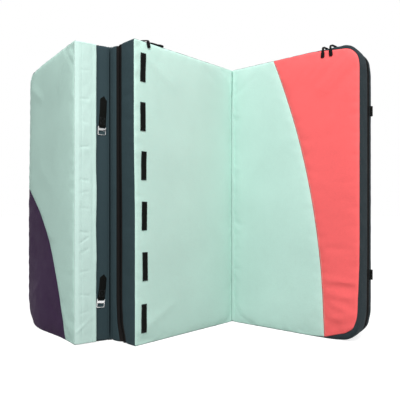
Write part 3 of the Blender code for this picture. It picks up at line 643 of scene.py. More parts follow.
def cut_block(bm, panel, edge_of):
    """Cuts the front face along a colour block's edge, one row of cells at a time."""
    levels = heights_of(panel)
    for low, high in zip(levels, levels[1:]):
        start, end = edge_of(low), edge_of(min(high, panel.height))
        if start > panel.width:
            break
        if end > panel.width:
            end = start + (panel.width - start) * 2.0
        row = [
            f for f in bm.faces
            if f.normal.y < -0.9 and low - TINY < f.calc_center_median().z < high + TINY
        ]
        point = panel.point(start, 0.0, low)
        run = panel.point(end, 0.0, high) - point
        cut(bm, row, point, run.cross(INWARD).normalized())
    bmesh.ops.remove_doubles(bm, verts=bm.verts, dist=MERGE)


def mark_fabrics(bm, panel, edge_of=None):
    """Writes on each face which fabric it belongs to."""
    bm.normal_update()
    for face in bm.faces:
        centre = face.calc_center_median()
        if face.normal.y < -0.9:
            beyond = edge_of and panel.way * centre.x > edge_of(centre.z)
            face.material_index = BLOCK if beyond else FRONT
        elif face.normal.y > 0.9:
            face.material_index = BACK
        elif panel.way * centre.x < 0.001:
            face.material_index = HINGE_WALL
        elif centre.y < panel.band[0]:
            face.material_index = WALL_FRONT
        elif centre.y > panel.band[1]:
            face.material_index = WALL_BACK
        else:
            face.material_index = ZIP_BAND


def write_uv(bm, panel):
    """Lays the weave out in metres: across and up on the faces, round and through on the walls."""
    layer = bm.loops.layers.uv.new("UVMap")
    for face in bm.faces:
        kind = face.material_index
        for loop in face.loops:
            co = loop.vert.co
            if kind in (FRONT, BLOCK, BACK):
                loop[layer].uv = (panel.way * co.x, co.z)
            elif kind == HINGE_WALL:
                loop[layer].uv = (co.y, co.z)
            else:
                reach = panel.way * co.x
                roll = wall_roll(front_draw(panel, reach, co.z), co.y)
                loop[layer].uv = (edge_run(panel, reach, co.z), co.y - roll)


def seam_verts(bm):
    """Vertices where two fabrics meet."""
    return {
        v for e in bm.edges for v in e.verts
        if len({f.material_index for f in e.link_faces}) > 1
    }


def edge_run(panel, reach, height):
    """How far round the outline the nearest edge place is, from the hinge side's foot."""
    w, h, r = panel.width, panel.height, panel.radius
    arc = r * QUARTER
    _, out = panel.edge(reach, height)
    if abs(out.x) > TINY and abs(out.y) > TINY or (reach > w - r and not r <= height <= h - r):
        turn = math.atan2(abs(out.y), max(out.x, TINY))
        if height < h / 2:
            return w - r + arc - r * turn
        return w - r + arc + h - 2 * r + r * turn
    if out.x > 0.5:
        return w - r + arc + height - r
    if out.y < -0.5:
        return reach
    if out.y > 0.5:
        return w - r + 2 * arc + h - 2 * r + w - r - reach
    return 0.0


def eased(table, place):
    """A smooth curve through the table's points, level beyond its ends."""
    if place <= table[0][0] or place >= table[-1][0]:
        return table[0][1] if place <= table[0][0] else table[-1][1]
    i = max(number for number, row in enumerate(table) if row[0] <= place)
    (start, low), (end, high) = table[i], table[i + 1]
    span = end - start
    rise = (high - table[i - 1][1]) / (end - table[i - 1][0]) if i else 0.0
    fall = (table[i + 2][1] - low) / (table[i + 2][0] - start) if i + 2 < len(table) else 0.0
    t = (place - start) / span
    bend = t * (1.0 - t) * span * (rise * (1.0 - t) - fall * t)
    return low + (high - low) * smooth(t) + bend


def front_draw(panel, reach, height):
    """How far the front seam is drawn in beside a place."""
    s = sizes()
    if panel is MIDDLE:
        return s.seam_draw
    run = edge_run(panel, reach, height)
    low_corner, high_corner = corner_runs(panel)
    share_of_draw = 1.0 if panel is RIGHT else 0.40
    low = eased(LOWER_DRAWS, run - low_corner)
    high = smooth((run - high_corner + 0.075) / 0.115) * (1.0 - smooth((run - high_corner - 0.022) / 0.140))
    return s.seam_draw + share_of_draw * (s.lower_draw * low + s.upper_draw * high)


def corner_runs(panel):
    """How far round the outline the middles of the two free corners are."""
    arc = panel.radius * QUARTER
    low_corner = panel.width - panel.radius + arc / 2
    return low_corner, low_corner + panel.height - 2 * panel.radius + arc


def corner_draws(panel, reach, height):
    """How far the whole wall and its back edge are drawn in beside a place, most at the free corners."""
    s = sizes()
    if panel is MIDDLE:
        return 0.0, 0.0
    run = edge_run(panel, reach, height)
    low, high = [smooth(1.0 - abs(run - corner) / 0.090) for corner in corner_runs(panel)]
    return s.foot_draw * low, s.back_draw * max(0.75 * low, high)


def free_swell(panel, run, depth):
    """How far the right panel's edge wall stands out beyond the outline."""
    s = sizes()
    if panel is not RIGHT:
        return 0.0
    low_corner, high_corner = corner_runs(panel)
    leaning = smooth((run - low_corner - 0.050) / 0.270) * (1.0 - smooth((run - high_corner + 0.065) / 0.060))
    swelling = smooth((run - 0.30) / 0.12) * (1.0 - smooth((run - high_corner - 0.05) / 0.12))
    share_of_depth = depth / panel.thickness
    swell = s.wall_swell * swelling * math.sin(math.pi * min(max(share_of_depth, 0.0), 1.0))
    return s.free_lean * leaning * (1.0 - share_of_depth) + swell


def wall_roll(draw, depth):
    """How far an edge wall still is from the outline, at a depth behind its drawn-in seam."""
    rest = max(1.0 - depth / max(draw * 0.62, 0.004), 0.0)
    return draw * (1.0 - math.sqrt(1.0 - rest * rest))


def free_side_bow(height, depth):
    """How far the middle panel's free side stands out beyond the outline, less towards the back."""
    return sizes().free_bow * smooth((height - 0.38) / 0.35) * smooth((0.100 - depth) / 0.060) - 0.0020


def stood(panel, place):
    """Where a place on the panel goes as the pad stands on its edge."""
    s = sizes()
    reach, height, depth = panel.way * place.x, place.z, place.y
    moved = place.copy()
    if panel is LEFT:
        along = min(max((reach - 0.02) / 0.47, 0.0), 1.0)
        bow = math.sin(math.pi * along ** 1.35) ** 2 * smooth(1.0 - height / 0.34)
        twist = (max(reach, 0.0) / panel.width) ** 5 * smooth((height - 0.35) / 0.6)
        moved.y += 0.0062 * twist - s.left_bow * bow
        if reach < 0.02:
            moved.x += s.fold_bulge * smooth((depth - 0.080) / 0.036) * smooth(1.0 - reach / 0.02)
    if panel is MIDDLE:
        near = smooth((reach - panel.width + 0.06) / 0.06)
        inner = smooth(depth / 0.05) * smooth((panel.thickness - depth) / 0.04)
        moved.y -= 0.016 * smooth(1.0 - height / 0.075) * near * inner
        on_side = smooth((reach - panel.width + 0.030) / 0.030) * smooth((height - 0.05) / 0.10)
        moved.y += 0.0045 * on_side * smooth((depth - 0.02) / 0.03) * smooth((panel.thickness - depth) / 0.03)
        swell = smooth((depth - 0.090) / 0.026) * smooth((reach - panel.width + 0.02) / 0.02)
        beside = smooth((reach - panel.width + 0.12) / 0.12)
        moved.x -= s.fold_bulge * swell + beside * free_side_bow(height, depth)
    return moved


def draw_in(panel, co):
    """Where a point of the plain block goes when its seams are sewn: drawn in, and crowned."""
    s = sizes()
    reach, height, depth = panel.way * co.x, co.z, co.y
    distance, out = panel.edge(reach, height)
    distance = max(distance, 0.0)
    draw = front_draw(panel, reach, height) if out.x > -0.5 else s.seam_draw
    front = wall_roll(draw, depth)
    back = wall_roll(s.seam_draw, panel.thickness - depth)
    whole, rear = corner_draws(panel, reach, height)
    back += whole + rear * depth / panel.thickness
    back -= free_swell(panel, edge_run(panel, reach, height), depth)
    shift = (front + back) * max(1.0 - distance / 0.09, 0.0) ** 2
    if panel is not LEFT and depth < 0.01 and out.x < -0.5:
        shift = 0.0
    moved = Vector((reach - out.x * shift, depth, height - out.y * shift))
    crown = 1.0 - (1.0 - min(distance / s.crown_reach, 1.0)) ** 2
    if depth < TINY:
        moved.y -= s.front_crown * crown
    elif depth > panel.thickness - TINY:
        moved.y += s.back_crown * crown
    return stood(panel, panel.point(moved.x, moved.y, moved.z))


def rows_of(bm, index):
    """The faces as vertex numbers, in an order that is the same each run, so the cloth is too."""
    rows = []
    for face in bm.faces:
        row = [index[v] for v in face.verts]
        first = row.index(min(row))
        rows.append(row[first:] + row[:first])
    return sorted(rows)


# How the cover's cloth behaves while it settles; its seams are held
CLOTH = {
    "quality": 4, "mass": 0.35, "air_damping": 2.0, "shrink_min": -0.012,
    "tension_stiffness": 20.0, "compression_stiffness": 20.0,
    "shear_stiffness": 8.0, "bending_stiffness": 0.25,
    "vertex_group_mass": "seams", "pin_stiffness": 1.0,
    "use_pressure": True, "uniform_pressure_force": 1.2,
}
SETTLE_FRAMES = 20
# A point that doesn't look to the front moves this share of the cap
OTHER_CAP = 0.25


def settle(bm, panel, pinned):
    """Lets the cover's cloth settle under light pressure between its seams."""
    mesh = bpy.data.meshes.new(f"{panel.name}_settling")
    index = {v: i for i, v in enumerate(bm.verts)}
    edges = [[index[v] for v in e.verts] for e in bm.edges]
    mesh.from_pydata([v.co for v in bm.verts], edges, rows_of(bm, index))
    cloth = bpy.data.objects.new(f"{panel.name}_settling", mesh)
    scene = bpy.context.scene
    scene.collection.objects.link(cloth)
    group = cloth.vertex_groups.new(name="seams")
    group.add([index[v] for v in pinned], 1.0, "REPLACE")
    modifier = cloth.modifiers.new("Cloth", "CLOTH")
    for key, value in CLOTH.items():
        setattr(modifier.settings, key, value)
    modifier.settings.effector_weights.gravity = 0.0
    modifier.collision_settings.use_self_collision = False
    for number in range(1, SETTLE_FRAMES + 1):
        scene.frame_set(number)
    result = cloth.evaluated_get(bpy.context.evaluated_depsgraph_get()).data
    places = [v.co.copy() for v in result.vertices]
    bpy.data.objects.remove(cloth)
    bpy.data.meshes.remove(mesh)
    scene.frame_set(1)
    bm.normal_update()
    moves = []
    for vert in bm.verts:
        move = places[index[vert]] - vert.co
        cap = sizes().puff_cap * (1.0 if vert.normal.y < -0.7 else OTHER_CAP)
        if move.length > TINY:
            moves.append((vert, move * (cap * math.tanh(move.length / cap) / move.length)))
    for vert, move in moves:
        vert.co += move


# Soft folds on the faces: start and end as (reach, height), half width, and depth share
FOLDS = {
    "right": (
        ((0.474, 0.962), (0.364, 0.858), 0.0095, 1.5),
        ((0.490, 0.945), (0.381, 0.842), 0.0095, 1.2),
        ((0.404, 0.958), (0.330, 0.888), 0.0090, 1.1),
        ((0.372, 0.968), (0.300, 0.902), 0.0090, 0.9),
        ((0.318, 0.966), (0.250, 0.890), 0.0085, 1.2),
        ((0.290, 0.975), (0.232, 0.910), 0.0085, 1.0),
        ((0.475, 0.870), (0.400, 0.720), 0.0180, 0.7),
        ((0.395, 0.203), (0.495, 0.198), 0.0100, 1.3),
        ((0.400, 0.158), (0.495, 0.146), 0.0095, 1.3),
        ((0.400, 0.128), (0.488, 0.096), 0.0095, 1.2),
        ((0.400, 0.074), (0.480, 0.084), 0.0100, 1.1),
        ((0.398, 0.040), (0.450, 0.060), 0.0090, -0.6),
        ((0.050, 0.050), (0.220, 0.110), 0.0160, 0.6),
        ((0.020, 0.900), (0.110, 0.960), 0.0120, -0.5),
    ),
    "middle": (
        ((0.480, 0.960), (0.330, 0.870), 0.014, 0.6),
        ((0.440, 0.930), (0.400, 0.780), 0.016, 0.4),
        ((0.060, 0.900), (0.160, 0.970), 0.014, -0.5),
        ((0.470, 0.050), (0.330, 0.120), 0.014, 0.6),
        ((0.030, 0.100), (0.150, 0.050), 0.012, 0.5),
    ),
    "left": (
        ((0.450, 0.930), (0.300, 0.860), 0.016, 0.7),
        ((0.060, 0.960), (0.130, 0.860), 0.014, 0.5),
        ((0.450, 0.080), (0.300, 0.160), 0.016, 0.8),
        ((0.100, 0.060), (0.230, 0.130), 0.014, -0.6),
        ((0.180, 0.520), (0.330, 0.600), 0.030, 0.3),
    ),
}


def fold_height(panel, reach, height):
    """How far the soft folds lift the face at a place."""
    total = 0.0
    for start, end, half_width, depth in FOLDS[panel.name]:
        first, run = Vector(start), Vector(end) - Vector(start)
        along = (Vector((reach, height)) - first).dot(run) / run.length_squared
        aside = (Vector((reach, height)) - first - run * min(max(along, 0.0), 1.0)).length
        fade = smooth(min(along + 0.25, 1.25 - along) / 0.5)
        total += depth * math.exp(-((aside / half_width) ** 2)) * fade
    return total * sizes().fold_depth


# How far a front may stand out at its hinge, and how much more it may for each metre away from it
CLOSING_ROOM = 0.0041
CLOSING_SLOPE = 0.0175


def crease(bm, panel):
    """Adds folds, small puckers beside the seams and a slight unevenness to the cover.

    The backs only go inward. The fronts that close on each other are kept low beside
    their hinge.
    """
    bm.normal_update()
    moves = []
    for vert in bm.verts:
        reach, height = panel.way * vert.co.x, vert.co.z
        distance, _ = panel.edge(reach, height)
        distance = max(distance, 0.0)
        flat = smooth(distance / 0.02)
        seed = Vector((reach * 6.0, vert.co.y * 6.0, height * 6.0 + 3.0 * PANELS.index(panel)))
        lift = noise.noise(seed) * 0.0012 * flat
        if vert.co.y < panel.thickness / 2:
            lift += fold_height(panel, reach, height) * flat
        run = reach + height
        pucker = noise.noise(Vector((run * 55.0, distance * 12.0, vert.co.y * 20.0)))
        lift += pucker * 0.0011 * smooth(distance / 0.006) * smooth(1.0 - distance / 0.05)
        if vert.co.y > panel.thickness - 0.004:
            lift = -abs(lift)
        moves.append((vert, vert.normal * lift))
    for vert, move in moves:
        vert.co += move
    if panel is LEFT:
        return
    for vert in bm.verts:
        limit = CLOSING_ROOM + CLOSING_SLOPE * max(panel.way * vert.co.x, 0.0)
        over = -vert.co.y - 0.8 * limit
        if over > 0.0:
            vert.co.y = -limit * (0.8 + 0.2 * math.tanh(over / (0.2 * limit)))


def seam_layer(bm, panel):
    """Marks how near each point is to the panel's edge, for the painted highlight along the seams."""
    layer = bm.verts.layers.float.new("seam_share")
    for vert in bm.verts:
        distance, _ = panel.edge(panel.way * vert.co.x, vert.co.z)
        vert[layer] = smooth(1.0 - max(distance, 0.0) / 0.012)


def groove(bm, panel, seams):
    """Sinks the seams, so that two fabrics meet in a fine valley, except under the front hinge."""
    bm.normal_update()
    depth = sizes().seam_groove
    lapped = {v for v in seams if panel is not LEFT and panel.way * v.co.x < 0.006 and v.co.y < 0.002}
    moves = [(v, v.normal * -depth) for v in seams - lapped]
    for vert, move in moves:
        vert.co += move


def split_off(bm, kinds):
    """A copy of the bmesh that holds only the given fabrics."""
    part = bm.copy()
    unwanted = [f for f in part.faces if f.material_index not in kinds]
    bmesh.ops.delete(part, geom=unwanted, context="FACES")
    for face in part.faces:
        face.material_index = 0
    return part


def cover_pieces(panel):
    """Which fabric makes which piece: kinds, piece name, material, nodes it stands for, slot."""
    name = panel.name
    # The right panel's edge walls take the slate with painted shade.
    wall = shaded_slate() if panel is RIGHT else slate()
    rows = [
        ((BACK,), "back_fabric", slate(), ("back_cover",), "slate_fabric"),
        ((WALL_FRONT,), "front_edge_wall", wall, ("gusset_front",), "slate_fabric"),
        ((WALL_BACK,), "back_edge_wall", wall, ("gusset_back",), "slate_fabric"),
        ((HINGE_WALL,), "hinge_wall", slate(), ("gusset_hinge",), "slate_fabric"),
    ]
    if name == "middle":
        rows.append(((FRONT,), "front_fabric", mint(), ("face",), "mint_fabric"))
    else:
        rows.append(((FRONT,), "mint_fabric", mint(), ("face_mint",), "mint_fabric"))
    if name == "right":
        rows.append(((BLOCK,), "coral_fabric", coral(), ("face_coral",), "coral_fabric"))
    if name == "left":
        rows.append(((BLOCK,), "purple_fabric", purple(), ("face_purple",), "purple_fabric"))
    return rows


COVER_EDGES = {"left": purple_edge, "right": coral_edge}


def add_cover(panel):
    """The whole sewn cover of one panel, made as one cloth and then parted at its seams."""
    edge_of = COVER_EDGES.get(panel.name)
    bm = cover_block(panel)
    bm.normal_update()
    if edge_of:
        cut_block(bm, panel, edge_of)
    mark_fabrics(bm, panel, edge_of)
    write_uv(bm, panel)
    seam_layer(bm, panel)
    for vert in bm.verts:
        vert.co = draw_in(panel, vert.co)
    band = {v for f in bm.faces if f.material_index == ZIP_BAND for v in f.verts}
    seams = seam_verts(bm)
    flat_walls = {v for f in bm.faces if f.material_index == HINGE_WALL for v in f.verts}
    settle(bm, panel, seams | band | flat_walls)
    crease(bm, panel)
    groove(bm, panel, seams)
    for vert in bm.verts:
        vert.co.z = max(vert.co.z, 0.0)
    for kinds, label, finish, nodes, slot in cover_pieces(panel):
        part = split_off(bm, kinds)
        made = piece(
            f"{panel.name}_{label}", part, finish, panel.body,
            [f"{panel.name}_{node}" for node in nodes], slot, panel.matrix,
        )
        subdivided(made)
        thickened(made, sizes().fabric)
    bm.free()


# Shapes shared by the fittings

def grid_sheet(columns, rows, place, size):
    """A sheet with its weave laid out over size, each point put where place says."""
    bm = bmesh.new()
    bmesh.ops.create_grid(bm, x_segments=columns, y_segments=rows, size=0.5)
    layer = bm.loops.layers.uv.new("UVMap")
    shares = {v: (v.co.x + 0.5, v.co.y + 0.5) for v in bm.verts}
    for face in bm.faces:
        for loop in face.loops:
            u, v = shares[loop.vert]
            loop[layer].uv = (u * size[0], v * size[1])
    for vert, (u, v) in shares.items():
        vert.co = place(u, v)
    return bm


def along_path(path, share_of_way):
    """The place and direction at a share of a path's length."""
    runs = [(b - a).length for a, b in zip(path, path[1:])]
    left = share_of_way * sum(runs)
    for i, run in enumerate(runs):
        if left <= run or i == len(runs) - 1:
            return path[i].lerp(path[i + 1], left / run), (path[i + 1] - path[i]).normalized()
        left -= run


def path_length(path):
    return sum((b - a).length for a, b in zip(path, path[1:]))


def ribbon(path, side, width, cell=0.006, slant=0.0):
    """A flat strip of webbing along a path; side is its width's direction.

    slant is how much later the start begins on the near side than on the far side.
    """
    total = path_length(path)

    def place(u, v):
        centre, _ = along_path(path, v + (1.0 - v) * slant * (1.0 - u) / total)
        return centre + side * (width * (u - 0.5))

    rows = max(round(total / cell), 4)
    return grid_sheet(6, rows, place, (width, total))


def rounded(path, steps=4):
    """The path with its corners smoothed by cutting them again and again."""
    for _ in range(steps):
        smoother = [path[0]]
        for a, b in zip(path, path[1:]):
            smoother += [a.lerp(b, 0.25), a.lerp(b, 0.75)]
        path = smoother + [path[-1]]
    return path


def tube(bm, path, radius, sides=8):
    """A round cord along a path, closed at both ends."""
    rings = []
    across = None
    count = len(path)
    for i, point in enumerate(path):
        run = (path[min(i + 1, count - 1)] - path[max(i - 1, 0)]).normalized()
        across = run.orthogonal() if across is None else across - run * across.dot(run)
        across.normalize()
        turn = Matrix((across, run.cross(across), run)).transposed().to_4x4()
        place = Matrix.Translation(point) @ turn
        ring = bmesh.ops.create_circle(bm, segments=sides, radius=radius, matrix=place)["verts"]
        rings.append(list(dict.fromkeys(e for v in ring for e in v.link_edges)))
    for first, second in zip(rings, rings[1:]):
        bmesh.ops.bridge_loops(bm, edges=first + second)
    for ring in (rings[0], rings[-1]):
        bmesh.ops.contextual_create(bm, geom=ring)


def rounded_box(bm, centre, axes, size, bevel, segments=2):
    """A box with rounded edges; axes are its three directions."""
    made = bmesh.ops.create_cube(bm, size=1.0)["verts"]
    turn = Matrix(axes).transposed().to_4x4()
    scale = Matrix.Diagonal((*size, 1.0))
    bmesh.ops.transform(bm, matrix=Matrix.Translation(centre) @ turn @ scale, verts=made)
    edges = list(dict.fromkeys(e for v in made for e in v.link_edges))
    bevelled(bm, edges, bevel, segments)


def stitches_along(bm, path, normal_at):
    """A row of short stitches, each a small spindle half sunk in the cloth."""
    s = sizes()
    count = max(int(path_length(path) / s.stitch_pitch), 1)
    for i in range(count):
        centre, run = along_path(path, (i + 0.5) / count)
        normal = normal_at(centre) if callable(normal_at) else normal_at
        side = run.cross(normal).normalized()
        turn = Matrix((run, side, side.cross(run))).transposed().to_4x4()
        shape = Matrix.Diagonal((s.stitch_length / 2, s.thread, s.thread, 1.0))
        place = Matrix.Translation(centre) @ turn @ shape
        bmesh.ops.create_icosphere(bm, subdivisions=1, radius=1.0, matrix=place)


def face_towards(made, direction):
    """Turns a sheet's faces over if they look away from a direction."""
    if sum(f.normal.dot(direction) for f in made.data.polygons) < 0.0:
        made.data.flip_normals()


def crossed_box(bm, corners, normal):
    """Stitches round four corners and across them both ways."""
    for a, b in ((0, 1), (1, 2), (2, 3), (3, 0), (0, 2), (1, 3)):
        stitches_along(bm, [corners[a], corners[b]], normal)


def tree_of(*objects):
    """The final surfaces of the pieces, to be hit by rays."""
    bpy.context.view_layer.update()
    depsgraph = bpy.context.evaluated_depsgraph_get()
    return [BVHTree.FromObject(obj, depsgraph) for obj in objects]


def first_hit(trees, start, direction):
    """The nearest place and normal that a ray meets on any of the surfaces."""
    best = None
    for tree in trees:
        place, normal, _, distance = tree.ray_cast(start, direction, RAY_REACH)
        if place is not None and (best is None or distance < best[2]):
            best = (place, normal if normal.dot(direction) < 0.0 else -normal, distance)
    return best


def on_face(panel, trees, reach, height, outward):
    """The place and normal on a panel's front face (-1) or back cover (1)."""
    depth = -0.03 if outward < 0.0 else panel.thickness + 0.03
    start = panel.world(reach, depth, height)
    return first_hit(trees, start, panel.inward * -outward)


def seam_row(bm, panel, trees, places):
    """Stitches on a front face along places given as (reach, height)."""
    path, normals = [], []
    for reach, height in places:
        hit = on_face(panel, trees, reach, height, -1.0)
        if hit:
            path.append(hit[0])
            normals.append(hit[1])
    if len(path) < 2:
        return

    def normal_at(point):
        nearest = min(range(len(path)), key=lambda i: (path[i] - point).length_squared)
        return normals[nearest]

    stitches_along(bm, path, normal_at)


# Foam

FOAM_CELL = 0.04
FOAM_SHEET = 0.020
FOAM_GAP = 0.0003
FOAM_MARGIN = 0.0045


def foam_slab(panel, start, end):
    """One layer of foam, drawn in like the cover round it and a little smaller."""
    bm, free, _ = panel_block(panel, start, end)
    bevelled(bm, free, panel.radius, 8)
    cut_grid(bm, panel, FOAM_CELL)
    third = (end - start) / 3
    for depth in (start + third, end - third):
        cut_at(bm, 1, depth)
    middle = panel.point(panel.width / 2, panel.thickness / 2, panel.height / 2)
    full = Vector((panel.width, panel.thickness, panel.height))
    shrink = [1.0 - 2.0 * FOAM_MARGIN / side for side in full]
    for vert in bm.verts:
        moved = draw_in(panel, vert.co)
        vert.co = middle + Vector([(moved[i] - middle[i]) * shrink[i] for i in range(3)])
    return bm


def add_foams(panel):
    """A closed-cell sheet, the open-cell block and a second closed-cell sheet."""
    closed, open_cells = foam_finishes()
    back = panel.thickness - FOAM_SHEET
    layers = (
        ("foam_top", 0.0, FOAM_SHEET, closed, "closed_cell_foam"),
        ("foam_core", FOAM_SHEET + FOAM_GAP, back - FOAM_GAP, open_cells, "open_cell_foam"),
        ("foam_base", back, panel.thickness, closed, "closed_cell_foam"),
    )
    for node, start, end, finish, slot in layers:
        bm = foam_slab(panel, start, end)
        name = f"{panel.name}_{node}_block"
        piece(name, bm, finish, panel.body, [f"{panel.name}_{node}"], slot, panel.matrix)


def foam_finishes():
    closed = foam_material("Closed-cell foam", (0.10, 0.10, 0.11), 1400.0)
    return closed, foam_material("Open-cell foam", (0.70, 0.66, 0.48), 900.0)


# Zips

# Where the tape has its columns of points, from its front seam (-1) to its back seam (1)
TAPE_COLUMNS = (-1.0, -0.72, -0.45, -0.24, -0.20, 0.20, 0.24, 0.45, 0.72, 1.0)
TAPE_CELL = 0.010
TAPE_THICKNESS = 0.0008
# How far below the wall the tape is at its seams, and how much more in the middle, as the coil is
TAPE_SINK = 0.0009
COIL_SINK = 0.0022
# How far the coil stays short of the zip's two ends
COIL_ENDS = 0.012
# How each pull lies: see add_pull
PULL_LIES = (
    (MIDDLE, 1, (0.0236, 0.0200, 0.25, 0.0010)), (MIDDLE, 2, (0.0150, 0.0, 0.0, 0.0030)),
    (RIGHT, 1, (0.0070, 0.0310, 0.10, 0.0110)), (RIGHT, 2, (0.0053, 0.0315, -0.05, 0.0090)),
    (LEFT, 1, (0.0240, 0.0, 0.0, 0.0560)),
)


def edge_place(panel, run):
    """The place on the panel's outline at a run from the hinge side's foot, and its way out."""
    w, h, r = panel.width, panel.height, panel.radius
    arc = r * QUARTER
    legs = (w - r, arc, h - 2 * r, arc, w - r)
    for number, leg in enumerate(legs):
        if run <= leg or number == 4:
            break
        run -= leg
    if number == 0:
        return (run, 0.0), (0.0, -1.0)
    if number == 2:
        return (w, r + run), (1.0, 0.0)
    if number == 4:
        return (w - r - run, h), (0.0, 1.0)
    angle = run / r + (-QUARTER if number == 1 else 0.0)
    out = (math.cos(angle), math.sin(angle))
    centre_height = r if number == 1 else h - r
    return (w - r + r * out[0], centre_height + r * out[1]), out


def edge_length(panel):
    return 2 * (panel.width - panel.radius) + math.pi * panel.radius + panel.height - 2 * panel.radius


def band_surface(panel, run, across):
    """A place on the zip band; across goes from -1 at its front seam to 1 at its back seam."""
    front, back = panel.band
    half = back - panel.zip_depth if across > 0 else panel.zip_depth - front
    sink = COIL_SINK * (1.0 - across * across) + TAPE_SINK
    return sunk_place(panel, run, panel.zip_depth + across * half, sink)


def sunk_place(panel, run, depth, sink):
    """A place on the edge wall as the sewn cover has it, sunk a little below the wall."""
    (reach, height), out = edge_place(panel, run)
    outside = draw_in(panel, panel.point(reach, depth, height))
    return outside - panel.point(out[0], 0.0, out[1]) * sink


def add_zip(panel):
    """The two tapes as one sheet, and the closed coil, its turns meeting in the middle."""
    total = edge_length(panel)
    steps = len(TAPE_COLUMNS) - 1

    def place(u, v):
        return band_surface(panel, total * v, TAPE_COLUMNS[min(int(round(u * steps)), steps)])

    width = panel.band[1] - panel.band[0]
    bm = grid_sheet(steps, round(total / TAPE_CELL), place, (width, total))
    made = piece(
        f"{panel.name}_zip_tapes", bm, tape(), panel.body, [f"{panel.name}_zip_tape"],
        "zip_tape_fabric", panel.matrix,
    )
    flip_to_outside(made, panel)
    thickened(made, TAPE_THICKNESS)
    bm = bmesh.new()
    s = sizes()
    count = int((total - 2 * COIL_ENDS) / s.tooth_pitch)
    half = s.coil_width / 2
    for i in range(count):
        run = COIL_ENDS + (i + 0.5) * s.tooth_pitch
        for side in (-1.0, 1.0):
            at = run + side * s.tooth_pitch / 4
            _, out = edge_place(panel, at)
            along = panel.point(-out[1], 0.0, out[0])
            centre = sunk_place(panel, at, panel.zip_depth + side * half * 0.48, COIL_SINK)
            slant = (INWARD + along * 0.16 * side).normalized()
            axes = (slant, along, slant.cross(along))
            turn = Matrix(axes).transposed().to_4x4()
            shape = Matrix.Diagonal((half * 1.12, s.tooth_pitch * 0.40, 0.0019, 1.0))
            bmesh.ops.create_cube(bm, size=1.0, matrix=Matrix.Translation(centre) @ turn @ shape)
    piece(f"{panel.name}_zip_coil", bm, plastic(), panel.body, (), "black_plastic", panel.matrix, 20.0)


def flip_to_outside(made, panel):
    """Turns a sheet's faces so that they look away from the panel's middle."""
    centre = panel.world(panel.width / 2, panel.thickness / 2, panel.height / 2)
    mesh = made.data
    votes = sum(1 if f.normal.dot(f.center - centre) > 0.0 else -1 for f in mesh.polygons)
    if votes < 0:
        mesh.flip_normals()


def add_slider(panel, number, lie):
    """A slider with its crown, and its cord pull with a moulded end."""
    node = f"{panel.name}_zip_slider_{number}"
    pull_node = f"{panel.name}_zip_pull_{number}"
    low, high = panel.local_box(node)
    centre = (low + high) / 2
    seat = low.z
    bm = bmesh.new()
    axes = (ACROSS, INWARD, UP)
    body = Vector((centre.x, centre.y, seat + 0.0013))
    rounded_box(bm, body, axes, (0.0138, 0.0088, 0.0024), 0.0009, 3)
    rounded_box(bm, body + UP * 0.0008, axes, (0.0136, 0.0036, 0.0020), 0.0008, 2)
    crown = [
        Vector((centre.x + x, centre.y, seat + z))
        for x, z in ((-0.0046, 0.0022), (-0.0034, 0.0050), (0.0, 0.0058), (0.0034, 0.0050), (0.0046, 0.0022))
    ]
    tube(bm, rounded(crown, 2), 0.0007, 8)
    piece(
        f"{node}_casting", bm, plastic(), f"{node}_body", [node], "black_plastic", panel.matrix, 35.0,
    )
    add_pull(panel, pull_node, Vector((centre.x, centre.y, seat + 0.0047)), lie)


# From the end of a pull's moulded end to where the cord leaves it
PULL_LENGTH = 0.0225
CORD_RADIUS = 0.0023


def add_pull(panel, node, eye, lie):
    """A doubled cord from the slider's crown over the edge to a ribbed moulded end.

    lie is how far the end lies to the side, how far it hangs below the panel's top
    edge, which way it points, and how high the cord stands over the edge. An end
    that hangs by nothing lies on the edge instead, and the last value is its depth.
    """
    aside, drop, tilt, arch = lie
    bm = bmesh.new()
    rest = -0.0068
    edge = panel.height + 0.0026
    if drop > 0.0:
        tip = Vector((eye.x + aside, rest, panel.height - drop))
        along = Vector((math.sin(tilt), 0.0, -math.cos(tilt)))
        depth_axis = INWARD
        top = tip - along * PULL_LENGTH
        middle = [
            Vector((eye.x + aside * 0.05, eye.y * 0.70, edge + 0.0020 + arch)),
            Vector((eye.x + aside * 0.25, eye.y * 0.22, edge + 0.0010 + arch * 0.85)),
            Vector((top.x - along.x * 0.003, rest + 0.0020, edge + 0.0002 + arch * 0.35)),
        ]
    else:
        way = math.copysign(1.0, aside)
        tip = Vector((eye.x + aside, arch, edge + 0.0004))
        along = Vector((way, 0.0, 0.0))
        depth_axis = UP
        top = tip - along * PULL_LENGTH
        turns = ((0.010, 0.30, 0.0040), (0.040, 0.68, 0.0030), (0.040, 0.96, 0.0008))
        middle = [
            Vector((eye.x - way * back, eye.y + (arch - eye.y) * forward, edge + up))
            for back, forward, up in turns
        ]
        middle.append(Vector((top.x - way * 0.006, arch + 0.0005, edge + 0.0004)))
    spread = along.cross(depth_axis).normalized()
    for side in (-1.0, 1.0):
        start = [
            eye + Vector((side * 0.0012, 0.0016, -0.0002)),
            eye + Vector((side * 0.0016, -0.0050, 0.0012)),
        ]
        ends = [top + spread * (side * 0.0014), top + along * 0.003]
        cord = start + [p + spread * (side * 0.0021) for p in middle] + ends
        tube(bm, rounded(cord, 3), CORD_RADIUS, 8)
    axes = (depth_axis.cross(-along).normalized(), depth_axis, -along)
    rounded_box(bm, tip - along * 0.0098, axes, (0.0124, 0.0062, 0.0190), 0.0024, 3)
    rounded_box(bm, tip - along * 0.0205, axes, (0.0094, 0.0056, 0.0056), 0.0014, 2)
    face = -0.0026 if drop > 0.0 else 0.0026
    for step in range(4):
        rib = tip - along * (0.0045 + 0.0036 * step) + depth_axis * face
        rounded_box(bm, rib, axes, (0.0092, 0.0022, 0.0014), 0.0004, 2)
    piece(f"{node}_cord", bm, plastic(), f"{node}_body", [node], "black_plastic", panel.matrix, 35.0)


# Fabric hinges

# Thickness of the thin fabric that is pinched in a fold
FOLD_FABRIC = 0.0006


